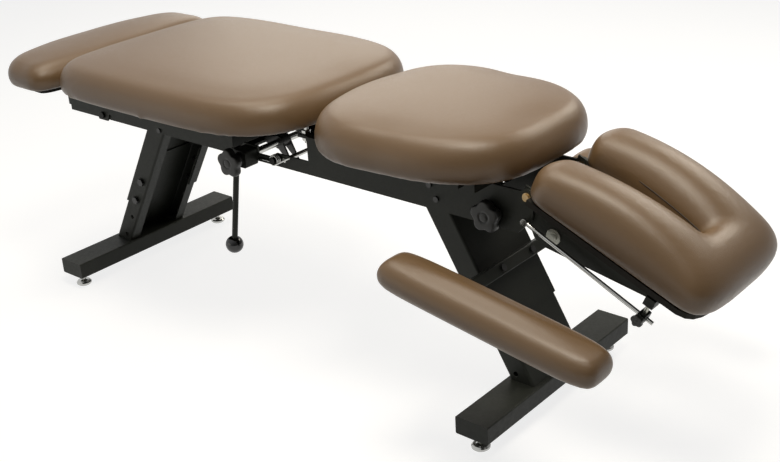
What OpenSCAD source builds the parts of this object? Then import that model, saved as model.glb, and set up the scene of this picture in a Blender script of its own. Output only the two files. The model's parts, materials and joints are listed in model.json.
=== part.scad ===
// Chiropractic table on two splayed legs, with a drop section, a tilting head
// section and armrests. X runs along the table with the head end at +X, Y runs
// across it and Z is up. The origin is on the floor under the middle of the
// table's outline, and heights are above the floor.

/* [Foot bars and feet] */
// Distance between the two foot bars, centre to centre
bar_spacing = 1222; // [1180:2:1260]
// Length of a foot bar across the table
bar_len = 508; // [440:2:560]
// Width of a foot bar along the table
bar_w = 75; // [68:1:84]
// Height of a foot bar
bar_h = 38; // [32:1:46]
// Wall of a foot bar's tube
bar_wall = 3; // [2:0.5:5]
// Height of the foot bars' underside above the floor
foot_h = 34; // [30:1:38]
// Diameter of a levelling foot's disc
foot_d = 37; // [30:1:44]
// Diameter of a levelling foot's stud
foot_stud_d = 10; // [8:1:12]
// How far a levelling foot screws out
foot_travel = 12; // [6:1:16]

/* [Legs] */
// Distance between the tops of the legs, at the side plates' lower edge
leg_top_spacing = 837; // [800:1:880]
// Depth of an upper leg channel
leg_depth = 54; // [50:1:60]
// Sheet thickness of the leg channels
leg_wall = 3; // [2:0.5:4]
// Width of the lips on a leg channel's open side
leg_lip = 28; // [20:1:34]
// Height of the upper leg channel's lower end
leg_split_z = 188; // [180:1:191]
// Height of the uppermost leg bolt
leg_bolt_z = 251; // [246:1:262]
// Pitch of the height holes along a leg
leg_hole_pitch = 63.5; // [58:0.5:68]
// Diameter of the leg bolts
leg_bolt_d = 10; // [8:1:12]

/* [Frame] */
// Half of the frame's width, to the outer faces of the side plates
frame_half = 96; // [90:1:106]
// Thickness of a side plate
plate_t = 5; // [4:0.5:6]
// Height of the side plates' lower edge
rail_z = 398; // [388:1:408]
// Rear end of the side plates, from midway between the legs
rail_rear = 732; // [700:1:760]
// Height of the side plates themselves under the pelvic tray
rail_h = 44; // [40:1:46]
// Height of the side plates themselves under the chest section
front_h = 84; // [78:1:88]
// Where the high front part of the side plates starts
front_start = 85; // [80:1:92]

/* [Cushions] */
// Height of the channels that carry the chest section
support_h = 24; // [22:1:30]
// Thickness of a cushion board
board_t = 18; // [12:1:20]
// Length of the pelvic cushion
pelvic_len = 709; // [690:1:720]
// Half of the pelvic cushion's width at its middle
pelvic_half = 281; // [250:1:300]
// Height of the pelvic cushion
pelvic_h = 77; // [68:1:88]
// Rear end of the pelvic cushion, from midway between the legs
pelvic_rear = 571; // [562:1:580]
// Length of the chest cushion
chest_len = 490; // [460:1:510]
// Half of the chest cushion's width at its middle
chest_half = 233; // [220:1:260]
// Height of the chest cushion
chest_h = 90; // [78:1:100]
// Gap between the pelvic and the chest cushion
chest_gap = 7; // [6:1:20]
// Length of the ankle cushion along the table
ankle_len = 208; // [180:1:216]
// Half of the ankle cushion's width
ankle_half = 274; // [250:1:290]
// Height of the ankle cushion
ankle_h = 70; // [60:1:80]
// Gap between the ankle and the pelvic cushion
ankle_gap = 5; // [4:1:24]

/* [Head section] */
// How far the head pivot is behind the chest cushion's front end
pivot_back = 3; // [0:1:8]
// Depth of the head pivot under the front part's upper edge
pivot_down = 9; // [7:0.5:12]
// Slope of the head section as it stands, below level
head_tilt = 23.4; // [16:0.2:30]
// Length of the head cushion
head_len = 390; // [360:1:410]
// Half of the head cushion's width
head_half = 153; // [146:1:170]
// Height of the head cushion
head_h = 103; // [94:1:110]
// Half of the face slot's width at its mouth
slot_half = 34; // [28:1:40]
// Length of the face slot
slot_len = 270; // [250:1:280]

/* [Armrests] */
// Distance of an armrest's centre line from the table's centre line
arm_y = 305; // [296:1:330]
// Height of the armrest cross bar's centre
arm_bar_z = 282; // [268:1:302]
// Length of an armrest pad
arm_len = 454; // [420:1:500]
// Half of an armrest pad's width
arm_half = 50; // [42:1:60]
// Height of an armrest pad
arm_h = 59; // [48:1:66]
// Slope of the near armrest as it stands
arm_tilt = 9; // [4:0.5:12]
// Slope of the far armrest as it stands
far_arm_tilt = 15; // [4:0.5:20]
// Height of a pad's underside above the cross bar's centre
arm_rise = 65; // [54:1:70]

/* [Drop mechanism] */
// Place of the drop shaft, behind midway between the legs
shaft_back = 88; // [86:1:92]
// Height of the drop shaft above the side plates' lower edge
shaft_up = 12; // [11:0.5:14]
// Diameter of the drop shaft
shaft_d = 16; // [14:1:17]
// Reach of the lift cam from the shaft to its roller
cam_reach = 35; // [33:1:37]
// Length of the cocking lever to the middle of its ball
lever_len = 213; // [180:1:240]
// Lean of the cocking lever from upright
lever_lean = 10.4; // [6:0.2:14]
// Diameter of the ball on the cocking lever
ball_d = 40; // [30:1:44]
// Diameter of the big star knobs
star_d = 65; // [56:1:70]
// Wire thickness of the torsion spring
wire_d = 3.5; // [2.5:0.25:4]
// Outer diameter of the torsion spring's coil
coil_d = 24; // [22:1:28]

/* [Hidden] */

// Overrun of cuts past the faces they open
over = 1;
// Gap between pieces of different bodies that lie against each other
gap = 0.3;
// Radial clearance of a running fit
run_fit = 0.05;
// Facets of round parts, small and large
fn_small = 24;
fn_round = 48;

black = [0.09, 0.1, 0.1];
steel = [0.78, 0.79, 0.8];
zinc = [0.75, 0.68, 0.5];
plastic = [0.06, 0.06, 0.06];
rubber_black = [0.05, 0.05, 0.05];
wood = [0.55, 0.42, 0.28];
vinyl = [0.45, 0.35, 0.27];

// Foot bars
bar_r = 3;
cap_t = 3;
bar_x = bar_spacing / 2;
bar_top = foot_h + bar_h;
foot_inset = 28;
foot_y = bar_len / 2 - foot_inset;
foot_disc_h = 10;
foot_nut_af = 17;
foot_nut_h = 8;
foot_stud_in = foot_travel + 10;
rail_top = rail_z + rail_h;
front_top = rail_z + front_h;
board_z = front_top + support_h;
chest_rear = pelvic_len - pelvic_rear + chest_gap;
chest_front = chest_rear + chest_len;
pivot_x = chest_front - pivot_back;
pivot_z = front_top - pivot_down;
shaft_z = rail_z + shaft_up;

// Legs: a leg's centre line leans inwards as it rises
leg_slope = (bar_spacing - leg_top_spacing) / 2 / (rail_z - bar_top);
leg_lean = atan(leg_slope);
function leg_x(z) = bar_x - (z - bar_top) * leg_slope;
leg_bend_r = 5;
leg_half = frame_half - plate_t - gap;
lower_half = leg_half - leg_wall - gap;
lower_depth = leg_depth - 2 * leg_wall - 2 * gap;
leg_top_z = rail_top + 14;
lower_leg_top_z = leg_bolt_z + 51;
leg_bolt_in = 6;
hole_slack = 0.5;
leg_hole_dz = leg_hole_pitch * cos(leg_lean);
leg_bolt_zs = [for (i = [0, 1]) leg_bolt_z - i * leg_hole_dz];
leg_hole_zs = [for (i = [0:3]) leg_bolt_z - i * leg_hole_dz];
leg_span = 2 * rail_z;
bolt_af = 17;
bolt_head_h = 6.4;
nut_h = 8;
top_bolt_r = 4;
top_bolt_head_r = 6;
top_bolt_head_h = 3.5;
top_bolt_in = 18;
front_top_bolts = [rail_z + 23, rail_z + 50];
rear_top_bolts = [rail_z + 7.5];

// Drop mechanism
shaft_x = -shaft_back;
shaft_r = shaft_d / 2;
roller_r = 8;
roller_pin_r = 4;
cam_eye_r = 7;
cam_hub_r = 15;
cam_cheek_y = 9;
cam_cheek_t = 5;
cam_hook = [32, -41];
cam_hook_r = 4;
cam_half = cam_cheek_y + cam_cheek_t;
block_w = 40;
block_h = 38;
block_d = 36;
hub_r = 15;
hub_len = 14;
bush_wall = 2;
bush_flange = 3;
bush_flange_t = 2;
collar_len = 8;
lever_r = 6.5;
hub_y = -(frame_half + block_d + 2 * gap);
shaft_near = hub_y - hub_len;
shaft_far = frame_half + gap + collar_len;
stem_r = 4;
stem_in = 12;
star_h = 18;
star_neck = 3;
star_lobes = 5;
star_neck_share = 0.42;
star_lobe_share = 0.42;
star_lobe_place_share = 1.16;
star_edge_share = 0.9;
star_edge_h_share = 0.12;

// Low stretches of the side plates round the drop mechanism
saddle_x = -205;
saddle_z = rail_z + 13;
cheek_back = 42;
cheek_ahead = 22;
cheek_z = rail_z + 34;
lip_z = rail_z + 17;
lip_end = -25;
window_x = -10;
window_z = rail_z + 29;
ear_x = [56, 104];
ear_y = 66;
ear_t = 6;

// Pelvic tray
tray_t = 3;
tray_z = rail_z + 15;
tray_front = -141;
tray_rear = -(rail_rear + 2);
ankle_tube = 19;
ankle_tube_z = board_z - 32.7;
tray_rear_top = ankle_tube_z + ankle_tube - 3;
tray_out = frame_half + gap + tray_t;
tray_flange_w = 30;
tray_hinge_x = -601;
tray_step_x = tray_hinge_x + 9;
tray_hinge_z = rail_z + 10;
lug_w = 50;
lug_drop = 3;
lug_x = tray_hinge_x;
cross_bar = 25;
cross_z = ankle_tube_z - gap - cross_bar;
beam_w = 25;
beam_y = 50;
beam_front = 60;
tube_wall = 2;
tube_r = 2.5;
tongue_half = 7.5;
tongue_h = 10;
tongue_len = 31;
tongue_z = shaft_z + roller_r + gap;
bumper_r = 10;
bumper_y = 60;
mid_plate_x = [-196, -138];
mid_plate_t = 6;
guide_xs = [-717, -470];
cross_x_rear = guide_xs[0] - cross_bar / 2;
cross_x_mid = guide_xs[1] - cross_bar / 2;
cross_x_front = tray_front - cross_bar;
hinge_r = 4;
hinge_head_r = 8;
hinge_head_h = 5;

// Stop bolts under the pelvic board
stop_x = 70;
stop_y = 79;
stop_r = 5;
stop_below = 14;
stop_nut_h = 8;
stop_nut_af = 17;

// Ankle rest
ankle_tube_y = 80;
ankle_board_t = 22;
ankle_board_z = ankle_tube_z + ankle_tube;
ankle_mid = -pelvic_rear - ankle_gap - ankle_len / 2;
ankle_tube_back = 88;
guide_wall = 3;
guide_len = 30;
ankle_travel = 150;
ankle_tube_spare = 32;
ankle_tube_front = guide_xs[1] - ankle_mid + ankle_travel + ankle_tube_spare;

// Cushion shapes: rings from the underside up, and the plan's roundness
ring_n = 44;
side_rows = 7;
top_share = [0.72, 0.4];
bulge_share = 0.36;
board_inset = 45;
pelvic_mid = pelvic_len / 2 - pelvic_rear;
pelvic_lift = 16;
pelvic_taper = 0;
pelvic_round = [5.7, 3.6];
pelvic_edge = [31, 5];
pelvic_crown = 10;
chest_mid = chest_rear + chest_len / 2;
chest_lift = 4;
chest_taper = -0.2;
chest_round = [2.3, 3.8];
chest_edge = [35, 11];
chest_crown = 12;
ankle_lift = 19;
ankle_taper = 0.07;
ankle_round = [2.7, 5];
ankle_edge = [37, 8];
ankle_crown = 6;
arm_round = [6, 5.5];
arm_edge = [34, 9];
arm_crown = 6;
arm_pocket = 1;

// Chest supports
support_xs = [chest_rear + 65, chest_front - 100];
support_w = 40;
support_half = 150;
support_wall = 3;

// Side plate nose and head section
nose_r = 15;
nose_chin = [11, -43];
nose_foot = [-20, -75];
head_plate_t = 4;
head_plate_out = frame_half - plate_t - gap;
head_board_t = 11;
head_board_h = 16;
head_cushion_h0 = head_board_h + head_board_t;
head_tip = 5;
head_flange_w = 22;
head_flange_t = 3;
head_plate_len = 352;
head_plate_back = -14;
head_deep = [70, -71];
head_heel = [42, -68];
head_low = [304, -20];
head_toe = [352, -4];
pivot_r = 5;
pivot_head_r = 9;
pivot_head_h = 6;
spacer_u = 75;
spacer_h = -40;
spacer_r = 9;
spacer_wall = 2.5;
spacer_head_r = 15;
spacer_head_h = 4;
slot_end_r = 14;
head_rows = 14;
head_corner = 3.9;
head_round_share = 0.5;
head_board_in = 14;
head_under_power = 0.45;
head_side_power = 0.73;
head_top_power = 0.87;
head_tip_least = 0.06;
head_tip_h_share = 0.2;
head_tip_w = 46;
head_tip_r = 44;
head_mid_h = 32;
head_arch_u = 193;
head_arch_reach = 150;
head_arch_front = 24;
head_arch_back = 21;

// Tilt rod: hung on the side plate, it slides through a clamp on the head section
rod_r = 4;
rod_y = -(frame_half + 10);
rod_hook = [1, -45];
rod_eye_r = 7;
rod_eye_w = 8;
rod_len = 292;
clamp_uh = [289, -52];
clamp_at = [
    clamp_uh[0] * cos(head_tilt) + clamp_uh[1] * sin(head_tilt),
    clamp_uh[1] * cos(head_tilt) - clamp_uh[0] * sin(head_tilt)
];
rod_dir = [clamp_at[0] - rod_hook[0], clamp_at[1] - rod_hook[1]];
rod_angle = atan2(-rod_dir[1], rod_dir[0]);
clamp_w = 16;
clamp_h = 20;
clamp_d = 22;
clamp_slack = 1.6;
clamp_screw_r = 3;
clamp_screw_in = 5;
clamp_stud_r = 4;
clamp_stud_in = 3;
clamp_lug_w = 20;
clamp_lug_h = [-26, -8];
clamp_knob_d = 24;
clamp_knob_h = 10;

// Second star knob
front_knob_at = [pivot_x - 81, rail_z + 24];
front_stem_r = 5;
front_stem_in = 20;
front_boss_t = 3;
front_boss_r = 14;

// Cross rod and spring post
rod_x = 14;
rod_z = rail_z + 18;
cross_rod_r = 5;
post_x = -6;
post_r = 5;
post_head_r = 8;
post_head_t = 2;
spring_turns = 3;
wire_r = wire_d / 2;
coil_r = coil_d / 2 - wire_r;
coil_pitch = wire_d + 0.6;
wire_sides = 6;
curl_rings = 8;
spring_y0 = -(frame_half + gap + wire_r);
post_len = gap + wire_d + spring_turns * coil_pitch + gap;
spring_left = 56;
spring_right = 54;
spring_right_angle = 28;

// Armrests
arm_tube = 25;
arm_face = leg_depth / 2 + arm_tube / 2;
arm_axis_z = arm_bar_z - arm_face * sin(leg_lean);
arm_bar_x = leg_x(arm_axis_z) + arm_face * cos(leg_lean);
arm_bar_end = arm_y - 90;
arm_plate_t = 5;
arm_plate_w = 36;
arm_flange_out = 25;
arm_flange_len = 210;
arm_bolt_r = 5;
arm_bolt_in = 30;
web_bolt_r = 4;
web_bolt_y = 50;
web_bolt_head_r = 7;
web_bolt_head_h = 4;
arm_back = 75;
arm_mid = arm_len / 2 - arm_back;

// Place of the frame's middle, so that the origin is under the whole outline's middle
head_reach = head_tip + head_len;
head_end_h = head_cushion_h0 + head_mid_h;
outline_front = pivot_x + head_reach * cos(head_tilt) + head_end_h * sin(head_tilt);
outline_rear = ankle_mid - ankle_len / 2;
frame_x = -(outline_front + outline_rear) / 2;

module placed() translate([frame_x, 0, 0]) children();

// A flat outline in X and Z, made a plate from y to y + t
module plate_xz(y, t) translate([0, y + t, 0]) rotate([90, 0, 0]) linear_extrude(t) children();

module rounded(w, h, r) {
    square([w - 2 * r, h], center = true);
    square([w, h - 2 * r], center = true);
    for (i = [-1, 1], j = [-1, 1])
        translate([i * (w / 2 - r), j * (h / 2 - r)]) circle(r, $fn = fn_small);
}

module tube_section(w, h, r, wall) difference() {
    rounded(w, h, r);
    rounded(w - 2 * wall, h - 2 * wall, r - wall / 2);
}

// A round bar along Y from y0 to y1
module bar_y(x, z, y0, y1, r, fn = fn_round) translate([x, y1, z]) rotate([90, 0, 0])
    cylinder(r = r, h = y1 - y0, $fn = fn);

// A hexagon along Y from y0 to y1, given across its flats
module hex_y(x, z, y0, y1, af) translate([x, y1, z]) rotate([90, 0, 0])
    cylinder(r = af / 2 / cos(30), h = y1 - y0, $fn = 6);

// A square tube along Y, and one along X
module tube_y(x0, z0, y0, y1, w, h, wall) plate_xz(y0, y1 - y0)
    translate([x0 + w / 2, z0 + h / 2]) tube_section(w, h, tube_r, wall);

module tube_x(x0, x1, y, z0, w, h, wall) translate([x0, y, z0 + h / 2]) rotate([90, 0, 90])
    linear_extrude(x1 - x0) tube_section(w, h, tube_r, wall);

module both_ends() for (m = [0, 1]) mirror([m, 0, 0]) children();
module both_sides() for (m = [0, 1]) mirror([0, m, 0]) children();

module foot_bar(side) color(black) placed() difference() {
    translate([side * bar_x, 0, 0]) plate_xz(-bar_len / 2 + cap_t, bar_len - 2 * cap_t)
        translate([0, foot_h + bar_h / 2]) tube_section(bar_w, bar_h, bar_r, bar_wall);
    both_sides() translate([side * bar_x, foot_y, foot_h - over])
        cylinder(r = foot_stud_d / 2 + run_fit, h = bar_wall + 2 * over, $fn = fn_round);
}

module foot_end_caps() color(black) placed() both_ends() both_sides()
    translate([bar_x, 0, 0]) plate_xz(bar_len / 2 - cap_t, cap_t)
        translate([0, foot_h + bar_h / 2]) rounded(bar_w, bar_h, bar_r);

// Nuts under the foot bars, round the studs of the levelling feet
module leveller_nuts() color(steel) placed() both_ends() both_sides()
    translate([bar_x, foot_y, foot_h - foot_nut_h]) difference() {
        cylinder(r = foot_nut_af / 2 / cos(30), h = foot_nut_h, $fn = 6);
        translate([0, 0, -over])
            cylinder(r = foot_stud_d / 2 + run_fit, h = foot_nut_h + 2 * over, $fn = fn_round);
    }

module leveller(end, side) color(steel) placed() translate([end * bar_x, side * foot_y, 0])
    rotate_extrude($fn = fn_round) polygon([
        [0, 0],
        [foot_d / 2 - bar_r, 0],
        [foot_d / 2, bar_r],
        [foot_d / 2, foot_disc_h - bar_r],
        [foot_d / 2 - bar_r, foot_disc_h],
        [foot_stud_d, foot_disc_h],
        [foot_stud_d / 2, foot_disc_h + bar_r],
        [foot_stud_d / 2, foot_h + foot_stud_in],
        [0, foot_h + foot_stud_in]
    ]);

// A folded leg channel along the front leg's centre line, cut level at both ends
module leg_channel(half, depth, z0, z1, hole_zs) difference() {
    intersection() {
        translate([leg_x(rail_z), 0, rail_z]) rotate([0, -leg_lean, 0])
            linear_extrude(2 * leg_span, center = true) difference() {
                rounded(depth, 2 * half, leg_bend_r);
                rounded(depth - 2 * leg_wall, 2 * (half - leg_wall), leg_bend_r - leg_wall / 2);
                translate([-depth / 2 - over, -(half - leg_lip)])
                    square([leg_wall + 2 * over, 2 * (half - leg_lip)]);
            }
        translate([0, -frame_half, z0]) cube([2 * bar_x, 2 * frame_half, z1 - z0]);
    }
    for (z = hole_zs)
        bar_y(leg_x(z) - leg_bolt_in, z, -frame_half, frame_half, leg_bolt_d / 2 + hole_slack);
}

module lower_leg() leg_channel(lower_half, lower_depth, bar_top, lower_leg_top_z, leg_hole_zs);

// Upper channel with holes for its bolts to the side plates
function top_bolt_x(z, offset) = leg_x(z) + offset;
module upper_leg(top_zs, offset) difference() {
    leg_channel(leg_half, leg_depth, leg_split_z, leg_top_z, leg_bolt_zs);
    for (z = top_zs) bar_y(top_bolt_x(z, offset), z, -frame_half, frame_half, top_bolt_r + run_fit);
}

// Square to the front leg's web, at the height of the armrest bar
module on_web() for (side = [-1, 1]) translate([arm_bar_x, side * web_bolt_y, arm_bar_z])
    rotate([0, 90 - leg_lean, 0]) children();
module web_holes() on_web()
    cylinder(r = web_bolt_r + run_fit, h = 2 * (arm_tube + leg_depth), center = true, $fn = fn_round);

module rear_lower_leg() color(black) placed() mirror([1, 0, 0]) lower_leg();
module front_lower_leg() color(black) placed() difference() {
    lower_leg();
    web_holes();
}
module rear_upper_leg() color(black) placed() mirror([1, 0, 0]) upper_leg(rear_top_bolts, -top_bolt_in);
module front_upper_leg() color(black) placed() difference() {
    upper_leg(front_top_bolts, top_bolt_in);
    web_holes();
}

// Bolts with nuts that hold the leg channels together, and those of the armrest bar
module leg_bolt(z) {
    x = leg_x(z) - leg_bolt_in;
    inner = lower_half - leg_wall;
    hex_y(x, z, leg_half, leg_half + bolt_head_h, bolt_af);
    bar_y(x, z, inner - nut_h - 2 * over, leg_half + over, leg_bolt_d / 2);
    hex_y(x, z, inner - nut_h, inner, bolt_af);
}

module top_bolt(x, z) {
    inner = leg_half - leg_wall;
    bar_y(x, z, frame_half, frame_half + top_bolt_head_h, top_bolt_head_r);
    bar_y(x, z, inner - nut_h, frame_half + over, top_bolt_r);
    hex_y(x, z, inner - nut_h, inner, 2 * top_bolt_head_r);
}

module frame_bolts() color(black) placed() {
    both_ends() both_sides() for (z = leg_bolt_zs) leg_bolt(z);
    both_sides() {
        for (z = front_top_bolts) top_bolt(top_bolt_x(z, top_bolt_in), z);
        for (z = rear_top_bolts) top_bolt(-top_bolt_x(z, -top_bolt_in), z);
    }
    both_sides() translate([arm_bar_x, 0, arm_bar_z]) {
        hex_y(0, 0, arm_bar_end + arm_plate_t + 2 * gap,
            arm_bar_end + arm_plate_t + 2 * gap + bolt_head_h, bolt_af);
        bar_y(0, 0, arm_bar_end - arm_bolt_in, arm_bar_end + arm_plate_t + 2 * gap + over, arm_bolt_r);
    }
    on_web() {
        web_in = arm_tube / 2 + 2 * leg_wall + gap;
        translate([0, 0, arm_tube / 2]) cylinder(r = web_bolt_head_r, h = web_bolt_head_h, $fn = fn_round);
        translate([0, 0, -web_in - nut_h])
            cylinder(r = web_bolt_r, h = web_in + nut_h + arm_tube / 2 + over, $fn = fn_round);
        translate([0, 0, -web_in - nut_h]) cylinder(r = web_bolt_head_r, h = nut_h, $fn = 6);
    }
}

// Outline of a side plate: long rear rail, saddle, bearing cheek, window lip and front plate
module side_outline() difference() {
    union() {
        polygon([
            [-rail_rear, rail_z],
            [-rail_rear, rail_top],
            [saddle_x - (rail_top - saddle_z), rail_top],
            [saddle_x, saddle_z],
            [shaft_x - cheek_back, saddle_z],
            [shaft_x - cheek_back / 2, cheek_z],
            [shaft_x + cheek_ahead, cheek_z],
            [shaft_x + cheek_ahead, lip_z],
            [lip_end, lip_z],
            [window_x, window_z],
            [front_start, window_z],
            [front_start, front_top],
            [pivot_x - nose_r, front_top],
            [pivot_x, pivot_z + nose_r],
            [pivot_x + nose_r, pivot_z],
            [pivot_x + nose_chin[0], pivot_z + nose_chin[1]],
            [pivot_x + nose_foot[0], rail_z]
        ]);
        translate([pivot_x, pivot_z]) circle(nose_r, $fn = fn_round);
    }
    translate([shaft_x, shaft_z]) circle(shaft_r + bush_wall + run_fit, $fn = fn_round);
    translate([rod_x, rod_z]) circle(cross_rod_r + run_fit, $fn = fn_round);
    for (z = front_top_bolts) translate([top_bolt_x(z, top_bolt_in), z])
        circle(top_bolt_r + run_fit, $fn = fn_small);
    for (z = rear_top_bolts) translate([-top_bolt_x(z, -top_bolt_in), z])
        circle(top_bolt_r + run_fit, $fn = fn_small);
    translate([tray_hinge_x, tray_hinge_z]) circle(hinge_r + run_fit, $fn = fn_round);
    translate([pivot_x, pivot_z]) circle(pivot_r + run_fit, $fn = fn_round);
    translate(front_knob_at) circle(front_stem_r + run_fit, $fn = fn_round);
}

module side_plate() {
    plate_xz(frame_half - plate_t, plate_t) side_outline();
    difference() {
        translate([ear_x[0], ear_y, front_top - ear_t])
            cube([ear_x[1] - ear_x[0], frame_half - plate_t - ear_y + over, ear_t]);
        translate([stop_x, stop_y, front_top - ear_t - over])
            cylinder(r = stop_r + hole_slack, h = ear_t + 2 * over, $fn = fn_round);
    }
}

module near_side_plate() color(black) placed() {
    mirror([0, 1, 0]) side_plate();
    translate([front_knob_at[0], 0, front_knob_at[1]]) difference() {
        bar_y(0, 0, -frame_half - front_boss_t, -frame_half + over, front_boss_r);
        bar_y(0, 0, -frame_half - front_boss_t - over, -frame_half + 2 * over, front_stem_r + run_fit);
    }
}
module far_side_plate() color(black) placed() side_plate();

// Plates and tubes across the frame, between the side plates
module frame_cross_members() color(black) placed() {
    half = frame_half - plate_t;
    translate([-rail_rear, -half, rail_z]) cube([plate_t, 2 * half, rail_top - rail_z]);
    translate([mid_plate_x[0], -half, rail_z])
        cube([mid_plate_x[1] - mid_plate_x[0], 2 * half, mid_plate_t]);
    tube_y(front_start + cross_bar, rail_z + plate_t, -half, half, 2 * cross_bar, cross_bar, leg_wall);
    translate([pivot_x + nose_foot[0] - 2 * cross_bar, -half, rail_z + plate_t])
        cube([plate_t, 2 * half, front_top - rail_z - 2 * plate_t]);
}

module rubber_bumpers() color(rubber_black) placed() both_sides()
    translate([tray_front - cross_bar / 2, bumper_y, rail_z + mid_plate_t]) difference() {
        cylinder(r = bumper_r, h = tray_z - gap - rail_z - mid_plate_t, $fn = fn_round);
        translate([0, 0, (tray_z - rail_z) / 3])
            cylinder(r = bumper_r / 2, h = tray_z, $fn = fn_small);
    }

// Stop bolts, each with its nut, that the front of the pelvic section rests on
module stop_bolts() color(steel) placed() both_sides() translate([stop_x, stop_y, 0]) {
    translate([0, 0, front_top - ear_t - stop_below])
        cylinder(r = stop_r, h = board_z - gap - front_top + ear_t + stop_below, $fn = fn_round);
    translate([0, 0, front_top])
        cylinder(r = stop_nut_af / 2 / cos(30), h = stop_nut_h, $fn = 6);
    translate([0, 0, front_top - ear_t - stop_nut_h])
        cylinder(r = stop_nut_af / 2 / cos(30), h = stop_nut_h, $fn = 6);
}

module bearing_block() color(black) placed() difference() {
    plate_xz(-frame_half - block_d, block_d) translate([shaft_x, shaft_z])
        rounded(block_w, block_h, leg_bend_r);
    bar_y(shaft_x, shaft_z, -frame_half - block_d - over, -frame_half + over, shaft_r + run_fit);
}

module shaft_bushes() color(zinc) placed() both_sides() difference() {
    union() {
        bar_y(shaft_x, shaft_z, frame_half - plate_t, frame_half, shaft_r + bush_wall);
        bar_y(shaft_x, shaft_z, frame_half - plate_t - bush_flange_t, frame_half - plate_t,
            shaft_r + bush_wall + bush_flange);
    }
    bar_y(shaft_x, shaft_z, 0, frame_half + over, shaft_r + run_fit);
}

// A wire swept along points that lie nearly across Y
function unit(v) = v / norm(v);
function wire_dir(path, i) = let (n = len(path) - 1)
    unit(path[min(i + 1, n)] - path[max(i - 1, 0)]);
function wire_ring(path, i, r, sides) = let (
        t = wire_dir(path, i),
        u = unit(cross(t, [0, 1, 0])),
        w = cross(t, u)
    ) [for (k = [0:sides - 1]) let (a = 360 * k / sides) path[i] + r * (cos(a) * u + sin(a) * w)];

module wire(path, r, sides) {
    n = len(path);
    rings = [for (i = [0:n - 1]) each wire_ring(path, i, r, sides)];
    points = concat([path[0]], rings, [path[n - 1]]);
    last = n * sides + 1;
    start_fan = [for (k = [0:sides - 1]) [0, 1 + (k + 1) % sides, 1 + k]];
    end_fan = [for (k = [0:sides - 1])
        [last, 1 + (n - 1) * sides + k, 1 + (n - 1) * sides + (k + 1) % sides]];
    skin = [for (i = [0:n - 2], k = [0:sides - 1], h = [0, 1]) let (
            a = 1 + i * sides + k,
            b = 1 + i * sides + (k + 1) % sides
        ) h == 0 ? [a, b, b + sides] : [a, b + sides, a + sides]];
    polyhedron(points, concat(start_fan, skin, end_fan));
}

// Torsion spring: a left leg, the curls round the post and a right leg, one unbroken wire
spring_turn = 360 * spring_turns + spring_right_angle;
spring_steps = ceil(spring_turn * curl_rings / 360);
function coil_point(i) = let (a = -90 + i * spring_turn / spring_steps) [
    post_x + coil_r * cos(a),
    spring_y0 - coil_pitch * spring_turn / 360 * i / spring_steps,
    rod_z + coil_r * sin(a)
];
coil_points = [for (i = [0:spring_steps]) coil_point(i)];
coil_start = coil_points[0];
coil_end = coil_points[spring_steps];
leg_out = [cos(spring_right_angle), 0, sin(spring_right_angle)];
spring_path = concat(
    [coil_start - [spring_left, 0, 0], coil_start - [spring_left / 2, 0, 0]],
    coil_points,
    [coil_end + spring_right / 2 * leg_out, coil_end + spring_right * leg_out]
);
spring_gap = min([for (i = [0:spring_steps - curl_rings + 1], j = [i + curl_rings - 1:spring_steps])
    norm(coil_points[j] - coil_points[i]) - wire_d]);
echo(least_gap_between_curls = spring_gap);

module torsion_spring() color(steel) placed() wire(spring_path, wire_r, wire_sides);

// The cross rod, the spring's post and the pin that the tilt rod hangs on
module frame_pins() color(steel) placed() {
    bar_y(rod_x, rod_z, -frame_half - over, frame_half + over, cross_rod_r);
    bar_y(post_x, rod_z, -frame_half - post_len, -frame_half, post_r);
    bar_y(post_x, rod_z, -frame_half - post_len - post_head_t, -frame_half - post_len, post_head_r);
    translate([pivot_x, 0, pivot_z]) {
        bar_y(rod_hook[0], rod_hook[1], rod_y - rod_eye_w / 2 - 2 * over, -frame_half, rod_r);
        bar_y(rod_hook[0], rod_hook[1], rod_y + rod_eye_w / 2 + gap, -frame_half, rod_r + over);
        bar_y(rod_hook[0], rod_hook[1], rod_y - rod_eye_w / 2 - gap - 2 * over,
            rod_y - rod_eye_w / 2 - gap, rod_r + 2 * over);
    }
}

// Bolts of the tray's hinge and of the head section's pivot, on both sides
module pivot_bolts() color(zinc) placed() both_sides() {
    translate([tray_hinge_x, 0, tray_hinge_z]) {
        bar_y(0, 0, frame_half - plate_t, tray_out + gap + over, hinge_r);
        bar_y(0, 0, tray_out + gap, tray_out + gap + hinge_head_h, hinge_head_r);
        hex_y(0, 0, frame_half - plate_t - nut_h, frame_half - plate_t, bolt_af - 2 * hinge_r / 2);
    }
    translate([pivot_x, 0, pivot_z]) {
        bar_y(0, 0, head_plate_out - head_plate_t - gap, frame_half + over, pivot_r);
        bar_y(0, 0, frame_half, frame_half + pivot_head_h / 2, pivot_head_r);
        bar_y(0, 0, frame_half, frame_half + pivot_head_h, pivot_head_r - 2 * over);
        hex_y(0, 0, head_plate_out - head_plate_t - gap - nut_h,
            head_plate_out - head_plate_t - gap, bolt_af);
    }
}

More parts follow.
